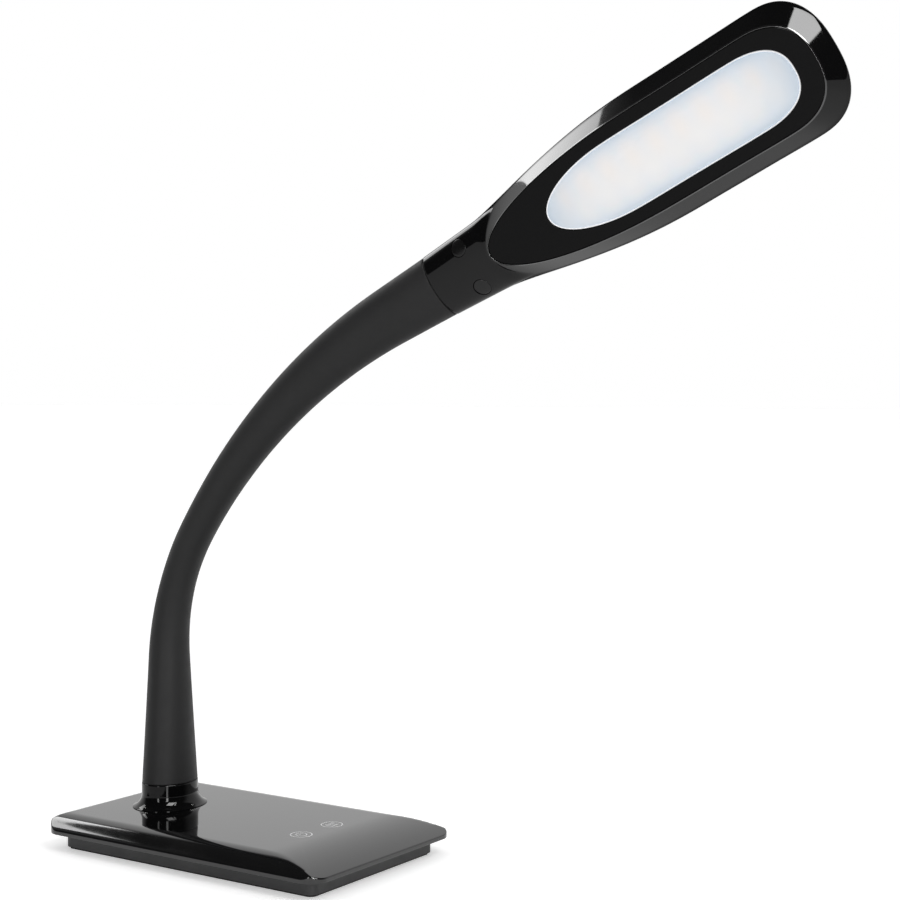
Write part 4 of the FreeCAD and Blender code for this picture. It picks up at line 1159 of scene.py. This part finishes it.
def build_back_cover(sizes):
    """Rounded back of the wrist and paddle below the rim."""
    soft = sizes.seam_round / MM
    outer, _ = head_spokes(soft, SPOKES)
    rim = rim_curve()
    middle = np.stack([np.minimum(outer[:, 0], HEAD_END - HEAD_HALF), np.zeros(len(outer))], 1)
    shares = np.concatenate([[0.0005, 0.0015], (np.linspace(0, 1, 27)[1:]) ** 1.8])
    lining_out = moved_inward(outer, PLATE_WALL)
    rows = [(moved_inward(outer, 0.12), None, 0.0), (moved_inward(outer, 0.03), None, 0.05),
            (outer, None, 0.16)]
    rows += [(outer + (middle - outer) * t, 0.0, 0.0) for t in shares]
    skin_end = len(rows) - 1
    lining_start = len(rows)
    rows += [(middle + (lining_out - middle) * t, PLATE_WALL, 0.0) for t in np.linspace(0, 1, 16)]
    rows.append((lining_out, None, 0.0))
    grid = []
    for plan, offset, lower in rows:
        if offset is None:
            z = np.full(len(plan), RIM_Z - 0.02 - lower)
        elif offset == 0.0:
            z = np.minimum(back_height(plan, rim), RIM_Z - 0.2)
        else:
            z = np.minimum(back_height(plan, rim) + offset, RIM_Z - 0.1)
        grid.append(np.column_stack([plan, z]))
    return shell_from_rows("head_back", grid, len(outer), (skin_end, lining_start), soft)


def panel_solid(name, profile, close_loop=True):
    """A solid round the panel or its window, from outline, growth and height."""
    rings = [flat_ring(tongue_curve(shape, grow, PANEL_POINTS), z) for shape, grow, z in profile]
    return ring_solid(name, rings, head_matrix(), close_loop=close_loop)


def build_bezel():
    """Flat panel let into the front shell, with a window for the light."""
    gap = LAND + PANEL_GAP
    rim = [(0.0, SEAT_Z), (0.0, FACE_Z - 0.45), (0.0, FACE_Z - 0.3)]
    rim += [(PANEL_ROUND * (1 - cosine), FACE_Z - PANEL_ROUND + PANEL_ROUND * sine)
            for sine, cosine in quarter(5, 1)]
    rim += [(0.45, FACE_Z), (1.5, FACE_Z)]
    mouth = [(1.6, FACE_Z), (0.6, FACE_Z)]
    mouth += [(WINDOW_ROUND * (1 - sine), FACE_Z - WINDOW_ROUND * (1 - cosine))
              for sine, cosine in quarter(5)]
    mouth += [(0.0, FACE_Z - 0.7), (0.0, SEAT_Z)]
    return panel_solid("head_panel", [(BEZEL, -gap - inset, z) for inset, z in rim]
                       + [(WINDOW, grow, z) for grow, z in mouth])


def build_rim_line():
    """Fine raised line round the panel, bevelled on its outer side."""
    return panel_solid("head_rim_line", [(BEZEL, grow, FACE_Z + rise) for grow, rise in RIM_LINE])


def build_diffuser():
    """Opal panel with a flange that lies under the bezel."""
    top = FACE_Z - LENS_SINK
    inside = -0.15 - BEAD_WIDTH
    profile = [(LENS_FLANGE, SEAT_Z - 1.5), (LENS_FLANGE, SEAT_Z), (inside, SEAT_Z),
               (inside, top - 0.4)]
    profile += [(inside - 0.2 * (1 - cosine), top - 0.2 + 0.2 * sine)
                for sine, cosine in quarter(5, 1)]
    profile.append((-1.5, top))
    return panel_solid("light_diffuser", [(WINDOW, *point) for point in profile], False)


def build_bead():
    """Bright moulded edge that fills the joint between the panel and the diffuser."""
    half = BEAD_WIDTH / 2
    low = SEAT_Z + 0.1
    profile = [(WINDOW, -BEAD_GAP, low)]
    for k in range(9):
        a = math.pi * k / 8
        profile.append((WINDOW, -BEAD_GAP - half + half * math.cos(a),
                        FACE_Z - BEAD_GAP - half + half * math.sin(a)))
    profile.append((WINDOW, -BEAD_GAP - BEAD_WIDTH, low))
    return panel_solid("diffuser_bead", profile)


def build_plug(name, y):
    """Soft plug over a wrist screw, its top following the shell."""
    rim = rim_curve()
    edge = tongue_curve(BEZEL, 0.0)
    radius = PLUG_RADIUS - PLUG_GAP
    soft = PLUG_ROUND
    a = np.linspace(0, 2 * np.pi, 64, endpoint=False)

    def ring(r, lower):
        p = np.stack([PLUG_X + r * np.cos(a), y + r * np.sin(a)], 1)
        return flat_ring(p, front_height(p, rim, edge) - lower)

    rings = [flat_ring(ring(radius, 0.0)[:, :2], PLUG_FLOOR),
             ring(radius, PLUG_SINK + soft * 1.4)]
    rings += [ring(radius - soft * (1 - cosine), PLUG_SINK + soft * (1 - sine))
              for sine, cosine in quarter(5)]
    rings += [ring(r, PLUG_SINK) for r in (3.2, 2.4, 1.6, 0.8, 0.1)]
    return ring_solid(name, rings, head_matrix())


def cut_well(shell, y):
    """Round well for a plug."""
    bm = bmesh.new()
    bmesh.ops.create_cone(bm, cap_ends=True, segments=64, radius1=PLUG_RADIUS * MM,
                          radius2=PLUG_RADIUS * MM, depth=20 * MM)
    bmesh.ops.translate(bm, verts=bm.verts, vec=(PLUG_X * MM, y * MM, (PLUG_FLOOR + 8.2) * MM))
    cutter = link_object("well_cutter", mesh_of("well_cutter", bm), head_matrix())
    cut = shell.modifiers.new("Plug well", "BOOLEAN")
    cut.operation = "DIFFERENCE"
    cut.solver = "EXACT"
    cut.object = cutter
    bpy.context.view_layer.update()
    graph = bpy.context.evaluated_depsgraph_get()
    result = bpy.data.meshes.new_from_object(shell.evaluated_get(graph))
    shell.modifiers.clear()
    shell.data = result
    bpy.data.objects.remove(cutter)


# Operators, one for each piece or group

class LAMP_OT_base_cover(bpy.types.Operator):
    """Glossy base plate and the collar round the foot of the neck"""

    bl_idname = "lamp.base_cover"
    bl_label = "Base cover"

    def execute(self, context):
        sizes = context.scene.lamp_sizes
        dress(build_base_plate(sizes), "base", "gloss", "black_gloss", "base_top_cover")
        dress(build_collar(sizes), "base", "collar", "black_gloss")
        return {"FINISHED"}


class LAMP_OT_touch_marks(bpy.types.Operator):
    """Printed rings that show where to touch for power and for brightness"""

    bl_idname = "lamp.touch_marks"
    bl_label = "Touch marks"

    def execute(self, context):
        sizes = context.scene.lamp_sizes
        for name, y, symbol in (("mark_power", -TOUCH_HALF_SPACING, "power"),
                                ("mark_brightness", TOUCH_HALF_SPACING, "level")):
            dress(build_mark(name, y, symbol, sizes), "base", "mark", "white_plastic")
        return {"FINISHED"}


class LAMP_OT_neck_sleeve(bpy.types.Operator):
    """Soft sleeve over the gooseneck, in pieces that bend with each joint"""

    bl_idname = "lamp.neck_sleeve"
    bl_label = "Neck sleeve"

    def execute(self, context):
        sizes = context.scene.lamp_sizes
        bodies = body_names()
        for index, (start, end) in enumerate(piece_spans()):
            obj = build_sleeve_piece(index, start, end, sizes.sleeve_wall / MM,
                                     sizes.seam_round / MM)
            if 0 < index <= JOINTS:
                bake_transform(obj, bodies[index], bodies[index - 1], start=tuple(neck_at(end)[0] * MM),
                         end=tuple(neck_at(start)[0] * MM))
            dress(obj, bodies[min(index, JOINTS)], "sleeve", "soft_sleeve",
                  *(("neck_sleeve",) if index == 0 else ()))
        return {"FINISHED"}


class LAMP_OT_neck_cable(bpy.types.Operator):
    """Cable through the gooseneck from the board to the head"""

    bl_idname = "lamp.neck_cable"
    bl_label = "Neck cable"

    def execute(self, context):
        line, joints = cable_line()
        rings = tube_rings(line, CABLE_RADIUS)
        bodies = body_names()
        edges = [0]
        for k in range(JOINTS):
            edges += [joints[k] - 4, joints[k] + 4]
        edges.append(len(line) - 1)
        for index, (a, b) in enumerate(zip(edges, edges[1:])):
            obj = ring_solid("cable_piece_%02d" % index, rings[a:b + 1])
            k = index // 2
            if index % 2 == 1:
                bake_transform(obj, bodies[k + 1], bodies[k], start=tuple(line[b] * MM),
                         end=tuple(line[a] * MM))
            dress(obj, bodies[k], "jacket", "wire_jacket",
                  *(("neck_harness",) if index == 0 else ()))
        return {"FINISHED"}


class LAMP_OT_head_shells(bpy.types.Operator):
    """Front shell, back cover and the two plugs at the wrist"""

    bl_idname = "lamp.head_shells"
    bl_label = "Head shells"

    def execute(self, context):
        sizes = context.scene.lamp_sizes
        front = build_front_shell(sizes)
        for y in (-PLUG_Y, PLUG_Y):
            cut_well(front, y)
        back = build_back_cover(sizes)
        dress(front, "head", "shell", "black_gloss", "head_front_shell")
        dress(back, "head", "shell", "black_gloss", "head_back_cover")
        for side, y in (("left", -PLUG_Y), ("right", PLUG_Y)):
            plug = build_plug("plug_" + side, y)
            dress(plug, "head", "plug", "black_rubber", "wrist_plug_" + side)
        return {"FINISHED"}


class LAMP_OT_light_panel(bpy.types.Operator):
    """Bezel and opal diffuser of the light"""

    bl_idname = "lamp.light_panel"
    bl_label = "Light panel"

    def execute(self, context):
        dress(build_bezel(), "head", "bezel", "bezel_black", "head_bezel")
        dress(build_rim_line(), "head", "polish", "black_gloss")
        dress(build_diffuser(), "head", "lens", "opal_lens", "head_diffuser")
        dress(build_bead(), "head", "bead", "opal_lens")
        return {"FINISHED"}


FINISH_OF_SLOT = {
    "black_gloss": "gloss", "charcoal_plastic": "skirt", "black_rubber": "rubber",
    "soft_sleeve": "sleeve", "zinc_steel": "steel", "weight_iron": "iron",
    "circuit_board": "board", "black_resin": "resin", "contact_brass": "brass",
    "wire_jacket": "jacket", "aluminium_sheet": "sheet", "bezel_black": "bezel",
    "opal_lens": "lens", "white_plastic": "white", "white_board": "white_board",
    "warm_phosphor": "phosphor_warm", "cool_phosphor": "phosphor_cool",
}


class LAMP_OT_inner_parts(bpy.types.Operator):
    """Finishes for the skirt, mat, screws, boards, gooseneck and other fitted parts"""

    bl_idname = "lamp.inner_parts"
    bl_label = "Fitted parts"

    def execute(self, context):
        slots = {p["node"]: p["material_slot"] for p in frame["record"]["subparts"]}
        for name, node in frame["nodes"].items():
            material = finish_named(FINISH_OF_SLOT[slots[name]])
            node.data.materials.clear()
            node.data.materials.append(material)
        return {"FINISHED"}


class LAMP_OT_stage(bpy.types.Operator):
    """Floor, white surround, soft light and camera"""

    bl_idname = "lamp.stage"
    bl_label = "Stage"

    def execute(self, context):
        settings = context.scene.lamp_stage
        build_floor(settings)
        build_surround(settings)
        build_softbox("key_softbox", KEY_PLACE, KEY_SIZE, settings.key)
        for name, place, size, share in CARDS:
            power = settings.glint * share * math.pi * size[0] * size[1]
            card = build_softbox(name, place, size, power)
            card.visible_diffuse = False
        build_camera(settings)
        context.scene.view_settings.view_transform = "Standard"
        return {"FINISHED"}


def build_floor(settings):
    bm = bmesh.new()
    bmesh.ops.create_grid(bm, x_segments=8, y_segments=8, size=FLOOR_HALF)
    floor = link_object("floor", mesh_of("floor", bm))
    m, tree = new_material("Pale floor")
    path = add(tree, "LightPath").outputs
    eye = calc(tree, "MAXIMUM", path["Is Camera Ray"], path["Is Transmission Ray"])
    eye_or_gloss = calc(tree, "MAXIMUM", eye, path["Is Glossy Ray"])
    put(tree.nodes["Principled BSDF"], {
        "Base Color": settings.floor, "Roughness": 0.7, "Specular IOR Level": 0.2,
        "Emission Color": (1, 1, 1, 1),
        "Emission Strength": calc(tree, "MULTIPLY", eye_or_gloss, FLOOR_LIFT)})
    floor.data.materials.append(m)


def build_surround(settings):
    """White backdrop to the eye and in reflections, and an even soft light."""
    world = bpy.data.worlds.new("surround")
    bpy.context.scene.world = world
    world.use_nodes = True
    tree = world.node_tree
    path = add(tree, "LightPath").outputs
    where = add(tree, "TexCoord").outputs["Generated"]
    towards = add(tree, "VectorMath", {0: where, 1: BACKDROP_SIDE}, operation="DOT_PRODUCT")
    height = add(tree, "SeparateXYZ", {0: where})
    fades = [add(tree, "MapRange", {"Value": value, "From Min": low, "From Max": high},
                 interpolation_type="SMOOTHSTEP").outputs["Result"]
             for value, (low, high) in ((towards.outputs["Value"], BACKDROP_FADE),
                                        (height.outputs["Z"], BACKDROP_TOP))]
    backdrop = add(tree, "MapRange", {"Value": calc(tree, "MULTIPLY", *fades),
                                      "To Min": ROOM_LEVEL}).outputs["Result"]
    eye = calc(tree, "MAXIMUM", path["Is Camera Ray"], path["Is Transmission Ray"])
    strength = settings.sky
    for share, level in ((path["Is Glossy Ray"], backdrop), (eye, 1.0)):
        strength = add(tree, "Mix", {0: share, 2: strength, 3: level},
                       data_type="FLOAT").outputs[0]
    put(tree.nodes["Background"], {"Color": (1, 1, 1, 1), "Strength": strength})


def build_softbox(name, place, size, power):
    light = bpy.data.lights.new(name, "AREA")
    light.shape = "RECTANGLE"
    light.size, light.size_y = size
    light.energy = power
    place = Vector(place)
    turn = (Vector(SOFTBOX_AIM) - place).to_track_quat("-Z", "Y")
    return link_object(name, light, Matrix.Translation(place) @ turn.to_matrix().to_4x4())


def build_camera(settings):
    camera = bpy.data.cameras.new("camera")
    camera.sensor_width = CAMERA_SENSOR
    camera.lens = settings.lens
    camera.clip_start = 0.01
    matrix = placed(CAMERA_RIGHT, CAMERA_UP, CAMERA_BACK, CAMERA_PLACE)
    bpy.context.scene.camera = link_object("camera", camera, matrix)


class LAMP_PT_panel(bpy.types.Panel):
    """Desk lamp steps and settings"""

    bl_label = "Gooseneck desk lamp"
    bl_idname = "LAMP_PT_panel"
    bl_space_type = "VIEW_3D"
    bl_region_type = "UI"
    bl_category = "Desk lamp"

    def draw(self, context):
        column = self.layout.column()
        for operator in OPERATORS:
            column.operator(operator.bl_idname)
        for group in (context.scene.lamp_sizes, context.scene.lamp_colours,
                      context.scene.lamp_stage):
            box = self.layout.box()
            for name in group.bl_rna.properties.keys():
                if name not in ("rna_type", "name"):
                    box.prop(group, name)


OPERATORS = (LAMP_OT_base_cover, LAMP_OT_touch_marks, LAMP_OT_neck_sleeve, LAMP_OT_neck_cable,
             LAMP_OT_head_shells, LAMP_OT_light_panel, LAMP_OT_inner_parts, LAMP_OT_stage)
GROUPS = (LampSizes, LampColours, StageSettings)


def register():
    for cls in GROUPS + OPERATORS + (LAMP_PT_panel,):
        bpy.utils.register_class(cls)
    bpy.types.Scene.lamp_sizes = bpy.props.PointerProperty(type=LampSizes)
    bpy.types.Scene.lamp_colours = bpy.props.PointerProperty(type=LampColours)
    bpy.types.Scene.lamp_stage = bpy.props.PointerProperty(type=StageSettings)


def unregister():
    del bpy.types.Scene.lamp_stage
    del bpy.types.Scene.lamp_colours
    del bpy.types.Scene.lamp_sizes
    for cls in reversed(GROUPS + OPERATORS + (LAMP_PT_panel,)):
        bpy.utils.unregister_class(cls)


def main():
    register()
    bpy.ops.lamp.base_cover()
    bpy.ops.lamp.touch_marks()
    bpy.ops.lamp.neck_sleeve()
    bpy.ops.lamp.neck_cable()
    bpy.ops.lamp.head_shells()
    bpy.ops.lamp.light_panel()
    bpy.ops.lamp.inner_parts()
    bpy.ops.lamp.stage()
    bpy.context.view_layer.update()


if __name__ == "__main__":
    main()
